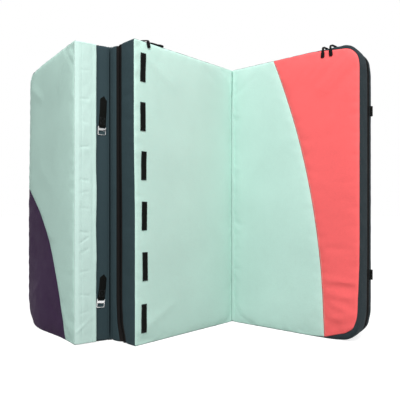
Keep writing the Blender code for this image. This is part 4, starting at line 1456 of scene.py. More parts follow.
def in_the_slit(u):
    """1 for the part of a fold's fabric that is pinched, 0 beside its two seams."""
    return smooth(2.0 - abs(2.0 * u - 1.0) * 2.6)


def add_front_hinge():
    """The fabric between the two front corners, pinched where it goes into the fold."""
    first = MIDDLE.world(0.0, 0.0, 0.0)
    second = RIGHT.world(0.0, 0.0, 0.0)
    along = (second - first).normalized()
    inward = (MIDDLE.inward + RIGHT.inward).normalized()
    half_gap = (second - first).length / 2
    half_angle = math.acos(MIDDLE.across.dot(-RIGHT.across)) / 2
    face = Vector((math.sin(half_angle), -math.cos(half_angle)))
    off = Vector((-math.cos(half_angle), -math.sin(half_angle)))
    edge = Vector((half_gap, 0.0))
    slit = (Vector((0.0016, edge.y + 0.0044)), Vector((0.0008, 0.0070)), Vector((0.0006, 0.0105)))
    side = [
        edge + face * 0.0026 + off * 0.0004, edge + off * 0.0005,
        edge - face * 0.0030 + off * 0.0004, *slit,
    ]
    profile = side + [Vector((0.0, 0.0115))] + [Vector((-p.x, p.y)) for p in reversed(side)]
    profile = rounded([Vector((p.x, p.y, 0.0)) for p in profile], 2)
    middle = (first + second) / 2
    foot, top = 0.0020, MIDDLE.height - 0.0016

    def place(u, v):
        height = foot + v * (top - foot)
        spot, _ = along_path(profile, u)
        waver = 0.0004 * noise.noise(Vector((1.0, height * 14.0, 0.0)))
        waver -= 0.0030 * (1.0 - smooth((height - 0.82) / 0.15))
        inside = in_the_slit(u)
        return middle + along * (spot.x + waver * inside) + inward * spot.y + UP * height

    size = (path_length(profile), top - foot)
    bm = grid_sheet(28, 160, place, size)
    made = piece("front_hinge_fabric", bm, mint(), None, ["front_hinge_cloth"], "mint_fabric", None, 60.0)
    face_towards(made, Vector((0.0, -1.0, 0.0)))
    thickened(made, FOLD_FABRIC)
    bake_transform(made)


# Where the rear hinge lies on each back, from its seam to where it leaves the back
REAR_REACHES = (0.0300, 0.0170, 0.0125)
REAR_SLACK = 0.0075
# How far the rear hinge's fabric lies off the two backs
REAR_LIFT = 0.0014


def add_rear_hinge():
    """The fabric over the two back covers, sewn to both and hanging slack behind the fold."""
    left = [LEFT.world(reach, LEFT.thickness + REAR_LIFT, 0.0) for reach in REAR_REACHES]
    middle = [
        MIDDLE.world(MIDDLE.width - reach, MIDDLE.thickness + REAR_LIFT, 0.0)
        for reach in REAR_REACHES
    ]
    facing = (LEFT.inward + MIDDLE.inward).normalized()
    across = (middle[2] - left[2]) * 0.22
    slack = [left[2] + across + facing * REAR_SLACK, middle[2] - across + facing * REAR_SLACK]
    path = rounded([left[0], left[1], left[2], *slack, middle[2], middle[1], middle[0]], 3)
    size = (path_length(path), MIDDLE.height - 0.0124)

    def place(u, v):
        spot, _ = along_path(path, u)
        height = 0.0062 + v * size[1]
        ripple = noise.noise(Vector((u * 3.0, height * 14.0, 7.0))) * smooth(1.0 - abs(2.0 * u - 1.0) * 1.5)
        return spot + UP * height + facing * 0.0010 * ripple

    bm = grid_sheet(30, 120, place, size)
    made = piece("rear_hinge_fabric", bm, slate(), None, ["rear_hinge_cloth"], "slate_fabric", None, 60.0)
    face_towards(made, facing)
    thickened(made, 0.0010)
    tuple(left[2])
    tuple(middle[2])
    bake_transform(made)


def add_fold_strip():
    """The strip between the two walls in front of the rear hinge, pinched in the fold."""
    first = LEFT.world(0.0, LEFT.thickness, 0.0)
    second = MIDDLE.world(MIDDLE.width, MIDDLE.thickness, 0.0)
    facing = (LEFT.inward + MIDDLE.inward).normalized()
    along = (second - first).normalized()
    s = sizes()

    def flat(vector):
        return Vector((vector.dot(along), vector.dot(facing), 0.0))

    wall, off = flat(-LEFT.inward), flat(LEFT.across)
    corner = flat(first - (first + second) / 2) + off * s.fold_bulge
    slit = [Vector((-0.0021, 0.0, 0.0)), Vector((-0.0017, 0.0090, 0.0))]
    side = [
        corner + wall * 0.0030 - off * 0.0005, corner + off * 0.0005,
        corner - wall * 0.0020 + off * 0.0004, *slit,
    ]
    profile = side + [Vector((0.0, 0.0120, 0.0))] + [Vector((-p.x, p.y, 0.0)) for p in reversed(side)]
    profile = rounded(profile, 2)
    foot, top = 0.0012, MIDDLE.height - 0.0020

    def place(u, v):
        height = foot + v * (top - foot)
        spot, _ = along_path(profile, u)
        waver = 0.0005 * noise.noise(Vector((1.0, height * 12.0, 4.0))) - 0.0040 * height
        inside = in_the_slit(u)
        closing = smooth(min(v, 1.0 - v) / 0.03)
        inward = facing * (spot.y * (closing if spot.y > 0.0 else 1.0))
        if u > 0.5:
            inward -= MIDDLE.across * (free_side_bow(height, MIDDLE.thickness) * (1.0 - inside))
        return (first + second) / 2 + along * (spot.x + waver * inside) + inward + UP * height

    size = (path_length(profile), top - foot)
    bm = grid_sheet(28, 120, place, size)
    made = piece("rear_fold_strip", bm, slate(), None, (), "slate_fabric", None, 60.0)
    face_towards(made, -facing)
    thickened(made, FOLD_FABRIC)
    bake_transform(made)


def add_hinge_stitches():
    """Two rows on each side of the rear hinge."""
    for panel, reaches in ((LEFT, (0.0190, 0.0270)), (MIDDLE, (0.4810, 0.4730))):
        bm = bmesh.new()
        for reach in reaches:
            ends = (0.010, panel.height - 0.010)
            path = [panel.world(reach, panel.thickness + REAR_LIFT, height) for height in ends]
            stitches_along(bm, path, panel.inward)
        piece(f"{panel.name}_hinge_stitches", bm, dark_thread(), panel.body, (), "black_plastic")


# Closing flap, its lining and the hook strips

FLAP_TOP_EDGE = 0.9972
FLAP_FOOT_EDGE = 0.0030
FLAP_FREE_EDGE = 0.0735
FLAP_ROWS = (0.0235, 0.0600)
# Short creases across the flap: height, slope and depth share
FLAP_CREASES = (
    (0.905, 0.10, 0.6), (0.810, 0.05, 0.9), (0.735, -0.15, 0.5), (0.652, 0.10, 1.2), (0.542, -0.10, 0.9),
    (0.502, 0.20, 0.6), (0.449, -0.10, 0.8), (0.369, -0.20, 1.2), (0.344, 0.60, 1.0), (0.308, 0.50, 0.8),
    (0.240, 0.10, 0.6), (0.162, -0.20, 1.0), (0.105, 0.15, 0.7),
)
# Each strip's middle: height, distance from the free side, and how far it is turned
STRIPS = (
    (0.0875, 0.0370, 0.010), (0.2575, 0.0415, -0.012), (0.4237, 0.0380, 0.006),
    (0.5885, 0.0362, 0.010), (0.7490, 0.0320, -0.008), (0.9100, 0.0325, 0.012),
)
# Thickness of the hook strips and of the loop pads
HOOK_TAPE = 0.0012
STRIP_WIDTH = 0.0210
STRIP_LENGTH = 0.094
STRIP_HALF = STRIP_LENGTH / 2
# The lining's distance below the flap's outer face, and the limits of its place off the gusset
LINING_GAP = 0.0013
LINING_HIGHEST = 0.0048
LINING_LOWEST = 0.0026
LOOP_PAD_WIDTH = 0.025
LOOP_PAD_RISE = 0.0006


def flap_offset(depth, height):
    """How far the flap's outer face stands off the gusset."""
    rise = 0.0012 + 0.0042 * smooth(depth / 0.013)
    broad = noise.noise(Vector((depth * 22.0, height * 2.2, 5.0)))
    fine = noise.noise(Vector((depth * 50.0, height * 34.0, 1.0)))
    held = 1.0
    for row in FLAP_ROWS:
        held *= 1.0 - 0.75 * math.exp(-((depth - row) / 0.004) ** 2)
    wave = (broad * 0.0013 + fine * 0.0008) * held * smooth(depth / 0.02)
    for row in FLAP_ROWS:
        rise -= 0.0006 * math.exp(-((depth - row) / 0.0016) ** 2)
    within = smooth((depth - 0.012) / 0.008) * smooth((0.054 - depth) / 0.012)
    for level, slope, share_of_depth in FLAP_CREASES:
        aside = height - level - slope * (depth - 0.032)
        if abs(aside) < 0.02:
            rise -= 0.0011 * share_of_depth * within * math.exp(-((aside / 0.0040) ** 2))
    low_fold = (depth - 0.012) * 0.8 - height + 0.050
    rise += 0.0024 * math.exp(-((low_fold / 0.007) ** 2)) * smooth(1.0 - height / 0.12)
    free = smooth((depth - 0.060) / 0.014)
    rise += free * 0.0022 * (0.5 + 0.5 * math.sin(height * 21.0 + 1.0) * math.sin(height * 8.0))
    return rise + wave


def flap_place(depth, height):
    """A place on the flap, which starts on the face and turns round the front corner."""
    if depth < 0.0:
        return Vector((depth, -0.0011 - 0.0002 * noise.noise(Vector((0.0, 0.0, height * 40.0))), height))
    turn = smooth(depth / 0.004)
    off = flap_offset(depth, height) * turn + 0.0008 * (1.0 - turn)
    return Vector((off, depth - 0.0011 * (1.0 - turn), height))


def add_flap():
    """The closing flap, a sheet that hangs over the left panel's hinge-side wall."""
    start = -0.0010

    def place(u, v):
        height = FLAP_FOOT_EDGE + v * (FLAP_TOP_EDGE - FLAP_FOOT_EDGE)
        wander = 0.0018 * noise.noise(Vector((3.0, 0.0, height * 9.0))) * u
        return flap_place(start + (FLAP_FREE_EDGE - start + wander) * u, height)

    size = (FLAP_FREE_EDGE - start, FLAP_TOP_EDGE - FLAP_FOOT_EDGE)
    bm = grid_sheet(44, 330, place, size)
    made = piece(
        "closing_flap_fabric", bm, flap_cloth(), "flap", ["closing_flap"],
        "mint_fabric", LEFT.matrix, 60.0,
    )
    face_towards(made, LEFT.across)
    thickened(made, 0.0010)
    trees = tree_of(made)
    bm = bmesh.new()

    def flap_row(places):
        path = []
        for depth, height in places:
            hit = first_hit(trees, LEFT.matrix @ Vector((0.05, depth, height)), -LEFT.across)
            if hit:
                path.append(hit[0])
        stitches_along(bm, path, LEFT.across)

    levels = [0.0080 + 0.984 * i / 120 for i in range(121)]
    for depth in (0.0045, *FLAP_ROWS, FLAP_FREE_EDGE - 0.0040):
        flap_row([(depth, height) for height in levels])
    across = [0.0235 + 0.0365 * i / 10 for i in range(11)]
    for centre, _, _ in STRIPS:
        for edge in (-STRIP_HALF, STRIP_HALF):
            flap_row([(depth, centre + edge) for depth in across])
    for height in (0.0080, 0.9920):
        flap_row([(0.006 + 0.064 * i / 16, height) for i in range(17)])
    piece("flap_stitches", bm, mint_thread(), "flap", (), "mint_fabric")


def under_flap(depth, height):
    """How far the lining stands off the gusset: just under the flap, within its limits."""
    return max(min(flap_offset(depth, height) - LINING_GAP, LINING_HIGHEST), LINING_LOWEST)


def add_flap_lining():
    """The lining under the flap, with a raised loop pad opposite each hook strip."""
    width, length = 0.050, 0.970

    def place(u, v):
        depth, height = 0.0160 + u * width, 0.0150 + v * length
        return Vector((under_flap(depth, height), depth, height))

    bm = grid_sheet(16, 240, place, (width, length))
    made = piece(
        "flap_lining_fabric", bm, webbing(), "flap", ["flap_loop_lining"],
        "black_webbing", LEFT.matrix, 60.0,
    )
    face_towards(made, LEFT.across)
    thickened(made, 0.0004)
    for number, (centre, _, _) in enumerate(STRIPS, start=1):
        def pad_place(u, v, centre=centre):
            depth, height = 0.0295 + u * LOOP_PAD_WIDTH, centre + (v - 0.5) * STRIP_LENGTH
            return Vector((under_flap(depth, height) - LOOP_PAD_RISE, depth, height))

        bm = grid_sheet(10, 36, pad_place, (LOOP_PAD_WIDTH, STRIP_LENGTH))
        pad = piece(f"flap_loop_pad_{number}", bm, hooks(), "flap", (), "black_webbing", LEFT.matrix, 60.0)
        face_towards(pad, -LEFT.across)
        thickened(pad, HOOK_TAPE, 1.0)


def add_hook_strips(trees):
    """Six hook strips that follow the middle panel's face, sewn round their edges."""
    thread = bmesh.new()
    for number, (centre, setback, turn) in enumerate(STRIPS, start=1):
        def place(u, v, centre=centre, setback=setback, turn=turn):
            x, z = (u - 0.5) * STRIP_WIDTH, (v - 0.5) * STRIP_LENGTH
            reach = MIDDLE.width - setback + x * math.cos(turn) - z * math.sin(turn)
            height = centre + z * math.cos(turn) + x * math.sin(turn)
            return on_face(MIDDLE, trees, reach, height, -1.0)[0] - MIDDLE.inward * 0.0006

        bm = grid_sheet(10, 36, place, (STRIP_WIDTH, STRIP_LENGTH))
        name = f"hook_strip_{number}"
        made = piece(f"{name}_tape", bm, hooks(), "middle_panel", [name], "black_webbing", None, 60.0)
        face_towards(made, -MIDDLE.inward)
        thickened(made, HOOK_TAPE, 1.0)
        corners = ((0.08, 0.025), (0.92, 0.025), (0.92, 0.975), (0.08, 0.975), (0.08, 0.025))
        for (u0, v0), (u1, v1) in zip(corners, corners[1:]):
            spots = [place(u0 + (u1 - u0) * i / 8, v0 + (v1 - v0) * i / 8) for i in range(9)]
            path = [spot - MIDDLE.inward * 0.0013 for spot in spots]
            stitches_along(thread, path, -MIDDLE.inward)
    piece("hook_strip_stitches", thread, dark_thread(), "middle_panel", (), "black_webbing")


# Closing straps and buckles

BUCKLE_SIDE = 0.030
BUCKLE_THICKNESS = 0.0026
# How far the plate's middle is below the bar, and both slots' near and far edges
BUCKLE_HANG = 0.0135
SLOT_HALF = 0.0120
SLOTS = ((0.0015, 0.0050), (0.0135, 0.0255))


def add_strap(where):
    """Webbing from the rear fold to its buckle: it passes round the bar and is sewn to itself."""
    _, high = LEFT.local_box(f"{where}_closing_strap")
    joint = joint_named(f"{where}_buckle_tilt")
    bar = LEFT.matrix.inverted() @ Vector(joint["pos_m"])
    root = Vector((0.0015, high.y - 0.0122, high.z))
    down = (bar - root)
    down.x = 0.0
    down.normalize()
    out = ACROSS
    side = out.cross(down).normalized()
    total = (bar - root).length
    path = [
        root, root + down * 0.012 + out * 0.0004, root + down * total * 0.45 + out * 0.0030,
        bar - down * 0.010 + out * 0.0022, bar - down * 0.002 + out * 0.0022,
        bar + down * 0.0022 + out * 0.0014, bar + down * 0.0022 - out * 0.0016,
        bar - down * 0.002 - out * 0.0022, bar - down * 0.012 - out * 0.0006,
        bar - down * total * 0.38 + out * 0.0012,
    ]
    path = rounded(path, 3)
    bm = ribbon(path, side, 0.0242, 0.0030, 0.021)
    made = piece(
        f"{where}_closing_strap_webbing", bm, webbing(), f"{where}_strap", [f"{where}_closing_strap"],
        "black_webbing", LEFT.matrix, 60.0,
    )
    thickened(made, 0.0013, 0.0)
    bm = bmesh.new()
    start, end = bar - down * 0.030, bar - down * 0.009
    half = side * STITCH_BOX_HALF
    corners = [start - half, start + half, end + half, end - half]
    crossed_box(bm, [corner + out * 0.0034 for corner in corners], out)
    piece(f"{where}_strap_stitches", bm, dark_thread(), f"{where}_strap", (), "black_webbing", LEFT.matrix)


def add_buckle(where):
    """The flat buckle: a plate with two slots cut out of it, then rounded all over."""
    joint = joint_named(f"{where}_buckle_tilt")
    bar = LEFT.matrix.inverted() @ Vector(joint["pos_m"])
    axis = LEFT.matrix.to_3x3().inverted() @ Vector(joint["axis"])
    side = axis.normalized()
    normal = ACROSS
    down = normal.cross(side).normalized()
    if down.z > 0.0:
        down = -down
    bm = bmesh.new()
    bmesh.ops.create_grid(bm, x_segments=1, y_segments=1, size=0.5)
    bmesh.ops.scale(bm, vec=(BUCKLE_SIDE, BUCKLE_SIDE, 1.0), verts=bm.verts)
    bmesh.ops.translate(bm, vec=(0.0, BUCKLE_HANG, 0.0), verts=bm.verts)
    bmesh.ops.bevel(
        bm, geom=bm.verts[:], offset=0.0035, offset_type="OFFSET", segments=4, profile=0.5,
        affect="VERTICES", clamp_overlap=True, material=-1,
    )
    for side_of_slot in (-SLOT_HALF, SLOT_HALF):
        cut_at(bm, 0, side_of_slot)
    for level in (level for slot in SLOTS for level in slot):
        cut_at(bm, 1, level)

    def in_slot(centre):
        return abs(centre.x) < SLOT_HALF and any(low < centre.y < high for low, high in SLOTS)

    slots = [f for f in bm.faces if in_slot(f.calc_center_median())]
    bmesh.ops.delete(bm, geom=slots, context="FACES")
    raised = bmesh.ops.extrude_face_region(bm, geom=bm.faces[:])["geom"]
    top = [v for v in raised if isinstance(v, bmesh.types.BMVert)]
    bmesh.ops.translate(bm, vec=(0.0, 0.0, BUCKLE_THICKNESS), verts=top)
    bmesh.ops.translate(bm, vec=(0.0, 0.0, -BUCKLE_THICKNESS / 2), verts=bm.verts)
    bmesh.ops.recalc_face_normals(bm, faces=bm.faces)
    bmesh.ops.dissolve_limit(bm, angle_limit=0.02, verts=bm.verts, edges=bm.edges)
    rims = [e for e in bm.edges if abs(e.verts[0].co.z - e.verts[1].co.z) < TINY]
    bevelled(bm, rims, 0.0009, 3)
    turn = Matrix((side, down, normal)).transposed().to_4x4()
    bmesh.ops.transform(bm, matrix=Matrix.Translation(bar) @ turn, verts=bm.verts)
    bmesh.ops.recalc_face_normals(bm, faces=bm.faces)
    piece(
        f"{where}_buckle_casting", bm, alloy(), f"{where}_buckle_body", [f"{where}_buckle"],
        "cast_alloy", LEFT.matrix, 35.0,
    )


# Tabs and carrying straps on the right panel

# Thickness of the webbing of the tabs and the carrying straps
CARRYING_WEBBING = 0.0014


def add_edge_tabs():
    """Folded webbing loops sewn to the free edge near the back."""
    for number in (1, 2):
        low, high = RIGHT.local_box(f"edge_tab_{number}")
        edge, tip = low.x - 0.0004, high.x + 0.0030
        front, back = low.y + 0.0015, high.y - 0.0015
        middle = (front + back) / 2
        centre = (low.z + high.z) / 2
        path = [
            Vector((edge, front, centre)), Vector((edge + 0.0012, front + 0.0004, centre)),
            Vector((tip - 0.0010, middle - 0.0050, centre)), Vector((tip + 0.0003, middle, centre)),
            Vector((tip - 0.0010, middle + 0.0050, centre)), Vector((edge + 0.0012, back - 0.0004, centre)),
            Vector((edge, back, centre)),
        ]
        bm = ribbon(rounded(path, 3), UP, high.z - low.z, 0.0016)
        made = piece(
            f"edge_tab_{number}_webbing", bm, webbing(), "right_panel", [f"edge_tab_{number}"],
            "black_webbing", RIGHT.matrix, 60.0,
        )
        flip_to_outside(made, RIGHT)
        thickened(made, CARRYING_WEBBING)
        bm = bmesh.new()
        for level in (-0.013, 0.013):
            for start in (path[1:3], path[4:6]):
                lifted = [p + Vector((0.0005, 0.0, level)) for p in start]
                stitches_along(bm, lifted, ACROSS)
        name = f"edge_tab_{number}_stitches"
        piece(name, bm, dark_thread(), "right_panel", (), "black_webbing", RIGHT.matrix)


SHOULDER_SETBACK = 0.200
SHOULDER_LENGTH = 0.400
SHOULDER_HALF = 0.030
# How far a shoulder pad's middle stands off the panel's back
SHOULDER_LIFT = 0.0092


def shoulder_line(way, share_of_way):
    """The middle of a shoulder strap at a share of its length, as (reach, height)."""
    height = RIGHT.height - SHOULDER_SETBACK - SHOULDER_LENGTH * share_of_way
    spread = 0.055 + 0.050 * share_of_way + 0.020 * math.sin(math.pi * share_of_way)
    return RIGHT.width / 2 + way * spread, height


def shoulder_half(share_of_way):
    """Half the width of a shoulder strap at a share of its length."""
    return SHOULDER_HALF * (1.0 - 0.35 * abs(2.0 * share_of_way - 1.0) ** 3)


def add_carrying_strap(number, way, trees):
    """A quilted shoulder strap, stitched along both sides, and the webbing below it."""
    bm = bmesh.new()
    bmesh.ops.create_cube(bm, size=1.0)
    for axis, count in ((0, 12), (2, 64)):
        for i in range(1, count):
            cut_at(bm, axis, i / count - 0.5)
    layer = bm.loops.layers.uv.new("UVMap")
    for face in bm.faces:
        for loop in face.loops:
            co = loop.vert.co
            loop[layer].uv = (co.x * SHOULDER_HALF * 2, co.z * SHOULDER_LENGTH)
    for vert in bm.verts:
        u, v = vert.co.x * 2.0, 0.5 - vert.co.z
        reach, height = shoulder_line(way, v)
        half = shoulder_half(v)
        body = (1.0 - abs(u) ** 5) ** 0.5 * smooth(min(v, 1.0 - v) / 0.035 + 0.15)
        rim = smooth((1.0 - abs(u)) / 0.25)
        quilt = 0.0012 * (abs(math.sin(v * math.pi * 10.0)) ** 0.4 - 1.0) * rim
        depth = RIGHT.thickness + SHOULDER_LIFT
        lift = (0.0026 + 0.0028 * body + quilt) if vert.co.y > 0.0 else -0.0052 * (0.4 + 0.6 * body)
        vert.co = RIGHT.point(reach + u * half, depth + lift, height)
    bmesh.ops.recalc_face_normals(bm, faces=bm.faces)
    pad = piece(
        f"shoulder_pad_{number}_cover", bm, slate(), "right_panel", [f"shoulder_pad_{number}"],
        "slate_fabric", RIGHT.matrix, 60.0,
    )
    subdivided(pad)
    pad_trees = tree_of(pad)
    bm = bmesh.new()
    for side in (-1.0, 1.0):
        path = []
        for i in range(61):
            v = 0.02 + 0.96 * i / 60
            reach, height = shoulder_line(way, v)
            half = shoulder_half(v)
            hit = on_face(RIGHT, pad_trees, reach + side * half * 0.86, height, 1.0)
            if hit:
                path.append(hit[0])
        stitches_along(bm, path, RIGHT.inward)
    piece(f"shoulder_pad_{number}_stitches", bm, dark_thread(), "right_panel", (), "slate_fabric")

    anchor = (RIGHT.width / 2 + way * 0.150, 0.120)
    start = shoulder_line(way, 0.985)
    path = []
    for i in range(25):
        share_of_way = i / 24
        reach = start[0] + (anchor[0] - start[0]) * share_of_way
        height = start[1] + (anchor[1] - start[1]) * share_of_way
        hit = on_face(RIGHT, trees, reach, height, 1.0)
        off = 0.0007 + 0.0040 * math.sin(math.pi * min(share_of_way * 1.15, 1.0))
        off += 0.0030 * smooth(1.0 - share_of_way * 8.0)
        path.append(hit[0] + RIGHT.inward * off)
    run = (path[-1] - path[0]).normalized()
    across = (RIGHT.across - run * RIGHT.across.dot(run)).normalized()
    bm = ribbon(path, across, 0.025, 0.0050)
    made = piece(
        f"shoulder_webbing_{number}_strap", bm, webbing(), "right_panel", [f"shoulder_webbing_{number}"],
        "black_webbing", None, 60.0,
    )
    thickened(made, CARRYING_WEBBING, 0.0)
    bm = bmesh.new()
    down = (path[-1] - path[-4]).normalized()
    end = path[-1] - down * 0.004
    half, run = across * STITCH_BOX_HALF, down * 0.022
    corners = [end - half, end + half, end + half - run, end - half - run]
    crossed_box(bm, [corner + RIGHT.inward * 0.0009 for corner in corners], RIGHT.inward)
    piece(f"shoulder_webbing_{number}_stitches", bm, dark_thread(), "right_panel", (), "black_webbing")


def add_block_stitches(covers):
    """Topstitching beside the edges of the two colour blocks, short of the panel's outer edge."""
    blocks = (
        (LEFT, PURPLE_LINE, 90, (-0.0035, 0.0028)),
        (RIGHT, CORAL_LINE, 120, (0.0045, 0.0)),
    )
    for panel, line, steps, (aside, up) in blocks:
        places = [(p.x + aside, p.y + up) for p in bulged_curve(*line, steps)]
        far, top = panel.width - 0.014, panel.height - 0.014
        places = [p for p in places if p[0] < far and 0.012 < p[1] < top]
        bm = bmesh.new()
        seam_row(bm, panel, tree_of(*covers[panel.name]), places)
        piece(f"{panel.name}_block_stitches", bm, mint_thread(), panel.body, (), "mint_fabric")


# Operators

def cover_objects(panel):
    """The sewn cover pieces of one panel."""
    labels = [row[1] for row in cover_pieces(panel)]
    return [bpy.data.objects[f"{panel.name}_{label}"] for label in labels]


class CRASHPAD_OT_covers(bpy.types.Operator):
    """Sew the covers of the three panels: faces, backs and edge walls"""
    bl_idname = "crash_pad.covers"
    bl_label = "Panel covers"

    def execute(self, context):
        for panel in PANELS:
            add_cover(panel)
        return {"FINISHED"}


class CRASHPAD_OT_foams(bpy.types.Operator):
    """Fill each cover with its three layers of foam"""
    bl_idname = "crash_pad.foams"
    bl_label = "Foam layers"

    def execute(self, context):
        for panel in PANELS:
            add_foams(panel)
        return {"FINISHED"}


class CRASHPAD_OT_zips(bpy.types.Operator):
    """Add the zips in the panel edges, with their sliders and cord pulls"""
    bl_idname = "crash_pad.zips"
    bl_label = "Zips and pulls"

    def execute(self, context):
        for panel in PANELS:
            add_zip(panel)
        for panel, number, lie in PULL_LIES:
            add_slider(panel, number, lie)
        return {"FINISHED"}


class CRASHPAD_OT_hinges(bpy.types.Operator):
    """Join the panels with the fabric hinges"""
    bl_idname = "crash_pad.hinges"
    bl_label = "Fabric hinges"

    def execute(self, context):
        add_front_hinge()
        add_rear_hinge()
        add_fold_strip()
        add_hinge_stitches()
        return {"FINISHED"}


class CRASHPAD_OT_flap(bpy.types.Operator):
    """Hang the closing flap with its lining and loop pads"""
    bl_idname = "crash_pad.flap"
    bl_label = "Closing flap"

    def execute(self, context):
        add_flap()
        add_flap_lining()
        return {"FINISHED"}


class CRASHPAD_OT_strips(bpy.types.Operator):
    """Sew the hook strips on the middle panel's face"""
    bl_idname = "crash_pad.strips"
    bl_label = "Hook strips"

    def execute(self, context):
        add_hook_strips(tree_of(bpy.data.objects["middle_front_fabric"]))
        return {"FINISHED"}


class CRASHPAD_OT_straps(bpy.types.Operator):
    """Add the closing straps in the rear fold and their buckles"""
    bl_idname = "crash_pad.straps"
    bl_label = "Closing straps and buckles"

    def execute(self, context):
        for where in ("upper", "lower"):
            add_strap(where)
            add_buckle(where)
        return {"FINISHED"}


class CRASHPAD_OT_carrying(bpy.types.Operator):
    """Add the edge tabs and the padded carrying straps of the right panel"""
    bl_idname = "crash_pad.carrying"
    bl_label = "Tabs and carrying straps"

    def execute(self, context):
        add_edge_tabs()
        trees = tree_of(bpy.data.objects["right_back_fabric"])
        for number, way in enumerate((-1.0, 1.0), start=1):
            add_carrying_strap(number, way, trees)
        return {"FINISHED"}


class CRASHPAD_OT_stitching(bpy.types.Operator):
    """Sew the rows of stitches beside the colour blocks"""
    bl_idname = "crash_pad.stitching"
    bl_label = "Stitching"

    def execute(self, context):
        add_block_stitches({panel.name: cover_objects(panel) for panel in PANELS})
        return {"FINISHED"}


class CRASHPAD_OT_cad_finishes(bpy.types.Operator):
    """Give the frame's own pieces their materials"""
    bl_idname = "crash_pad.cad_finishes"
    bl_label = "Finishes of the frame's pieces"

    def execute(self, context):
        closed, open_cells = foam_finishes()
        rules = (
            ("foam_core", open_cells), ("foam_", closed),
            ("zip_tape", tape()), ("zip_", plastic()), ("buckle", alloy()),
            ("closing_flap", flap_cloth()), ("strip", hooks()), ("front_hinge", mint()),
            ("strap", webbing()), ("tab", webbing()), ("webbing", webbing()), ("lining", webbing()),
        )
        for name, node in frame["nodes"].items():
            finish = next((made for part, made in rules if part in name), slate())
            node.data.materials.clear()
            node.data.materials.append(finish)
        return {"FINISHED"}


class CRASHPAD_OT_stage(bpy.types.Operator):
    """Set the floor, the soft studio light and the camera"""
    bl_idname = "crash_pad.stage"
    bl_label = "Floor, light and camera"

    def execute(self, context):
        add_floor()
        add_lights()
        add_camera()
        return {"FINISHED"}


# Floor, light and camera

CAMERA_PLACE = Vector((0.0080, -1.7739, 0.4404))
FOCAL_PIXELS = 486.1
OPTICAL_AXIS = (183.5, 210.9)
SENSOR_WIDTH = 36.0
FLOOR_HALF = 30.0
FLOOR_HEIGHT = -0.0005
# The floor glows only for what the camera sees, and the sky is darker as a light than as seen
FLOOR_GLOW = 0.82
SKY_LIGHT = 0.51
SKY_SEEN = 1.0
KEY_PLACE = (0.12, -2.20, 3.00)
KEY_AIM = (0.0, 0.0, 0.60)
KEY_SIZE = 1.9
KEY_POWER = 116.0


def add_camera():
    data = bpy.data.cameras.new("camera")
    data.sensor_width = SENSOR_WIDTH
    data.lens = FOCAL_PIXELS * SENSOR_WIDTH / PICTURE
    data.shift_x = (PICTURE / 2 - OPTICAL_AXIS[0]) / PICTURE
    data.shift_y = (OPTICAL_AXIS[1] - PICTURE / 2) / PICTURE
    data.clip_start = 0.01
    data.clip_end = 100.0
    camera = bpy.data.objects.new("camera", data)
    camera.location = CAMERA_PLACE
    camera.rotation_euler = (QUARTER, 0.0, 0.0)
    bpy.context.scene.collection.objects.link(camera)
    bpy.context.scene.camera = camera


def seen_directly(tree):
    """1 for what the camera sees, straight or in gloss and glass, otherwise 0."""
    path = add_node(tree, "ShaderNodeLightPath")
    seen = math_node(tree, "MAXIMUM", path.outputs["Is Camera Ray"], path.outputs["Is Glossy Ray"])
    return math_node(tree, "MAXIMUM", seen, path.outputs["Is Transmission Ray"])


def add_floor():
    bm = bmesh.new()
    bmesh.ops.create_grid(bm, x_segments=8, y_segments=8, size=FLOOR_HALF)
    mesh = bpy.data.meshes.new("floor")
    bm.to_mesh(mesh)
    bm.free()
    floor = bpy.data.objects.new("floor", mesh)
    floor.location.z = FLOOR_HEIGHT
    bpy.context.scene.collection.objects.link(floor)
    made, tree, shader = new_material("Studio floor")
    shader.inputs["Base Color"].default_value = (*colours().floor, 1.0)
    shader.inputs["Roughness"].default_value = 1.0
    shader.inputs["Specular IOR Level"].default_value = 0.0
    shader.inputs["Emission Color"].default_value = (1.0, 1.0, 1.0, 1.0)
    glow = math_node(tree, "MULTIPLY", seen_directly(tree), FLOOR_GLOW)
    tree.links.new(glow, shader.inputs["Emission Strength"])
    mesh.materials.append(made)


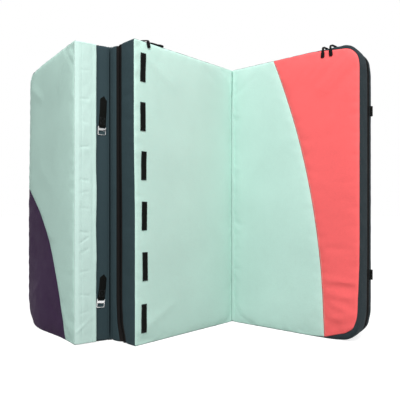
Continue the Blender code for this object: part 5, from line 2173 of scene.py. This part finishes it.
def add_lamp(name, place, aim, size, power):
    """A square soft box at a place, turned to what it lights."""
    data = bpy.data.lights.new(name, "AREA")
    data.size = size
    data.energy = power
    lamp = bpy.data.objects.new(name, data)
    lamp.location = place
    lamp.rotation_mode = "QUATERNION"
    lamp.rotation_quaternion = (Vector(aim) - Vector(place)).to_track_quat("-Z", "Y")
    bpy.context.scene.collection.objects.link(lamp)


def add_lights():
    world = bpy.data.worlds.new("studio")
    world.use_nodes = True
    bpy.context.scene.world = world
    tree = world.node_tree
    background = tree.nodes["Background"]
    background.inputs["Color"].default_value = (1.0, 1.0, 1.0, 1.0)
    strength = ramp(tree, seen_directly(tree), 0.0, 1.0, SKY_LIGHT, SKY_SEEN)
    tree.links.new(strength, background.inputs["Strength"])
    add_lamp("key_light", KEY_PLACE, KEY_AIM, KEY_SIZE, KEY_POWER)


# Registering and running

class CRASHPAD_PT_panel(bpy.types.Panel):
    """The crash pad's steps, in the order that main runs them"""
    bl_label = "Crash Pad"
    bl_idname = "CRASHPAD_PT_panel"
    bl_space_type = "VIEW_3D"
    bl_region_type = "UI"
    bl_category = "Crash Pad"

    def draw(self, context):
        for step in STEPS:
            self.layout.operator(step.bl_idname)


STEPS = (
    CRASHPAD_OT_stage, CRASHPAD_OT_cad_finishes, CRASHPAD_OT_covers, CRASHPAD_OT_foams,
    CRASHPAD_OT_zips, CRASHPAD_OT_hinges, CRASHPAD_OT_flap, CRASHPAD_OT_strips,
    CRASHPAD_OT_straps, CRASHPAD_OT_carrying, CRASHPAD_OT_stitching,
)
CLASSES = (CrashPadSizes, CrashPadColours, *STEPS, CRASHPAD_PT_panel)


def register():
    for cls in CLASSES:
        bpy.utils.register_class(cls)
    bpy.types.Scene.crash_pad_sizes = PointerProperty(type=CrashPadSizes)
    bpy.types.Scene.crash_pad_colours = PointerProperty(type=CrashPadColours)


def unregister():
    del bpy.types.Scene.crash_pad_colours
    del bpy.types.Scene.crash_pad_sizes
    for cls in reversed(CLASSES):
        bpy.utils.unregister_class(cls)


def main():
    register()
    bpy.context.scene.view_settings.view_transform = "Standard"
    for step in STEPS:
        group, name = step.bl_idname.split(".")
        getattr(getattr(bpy.ops, group), name)()


if __name__ == "__main__":
    main()
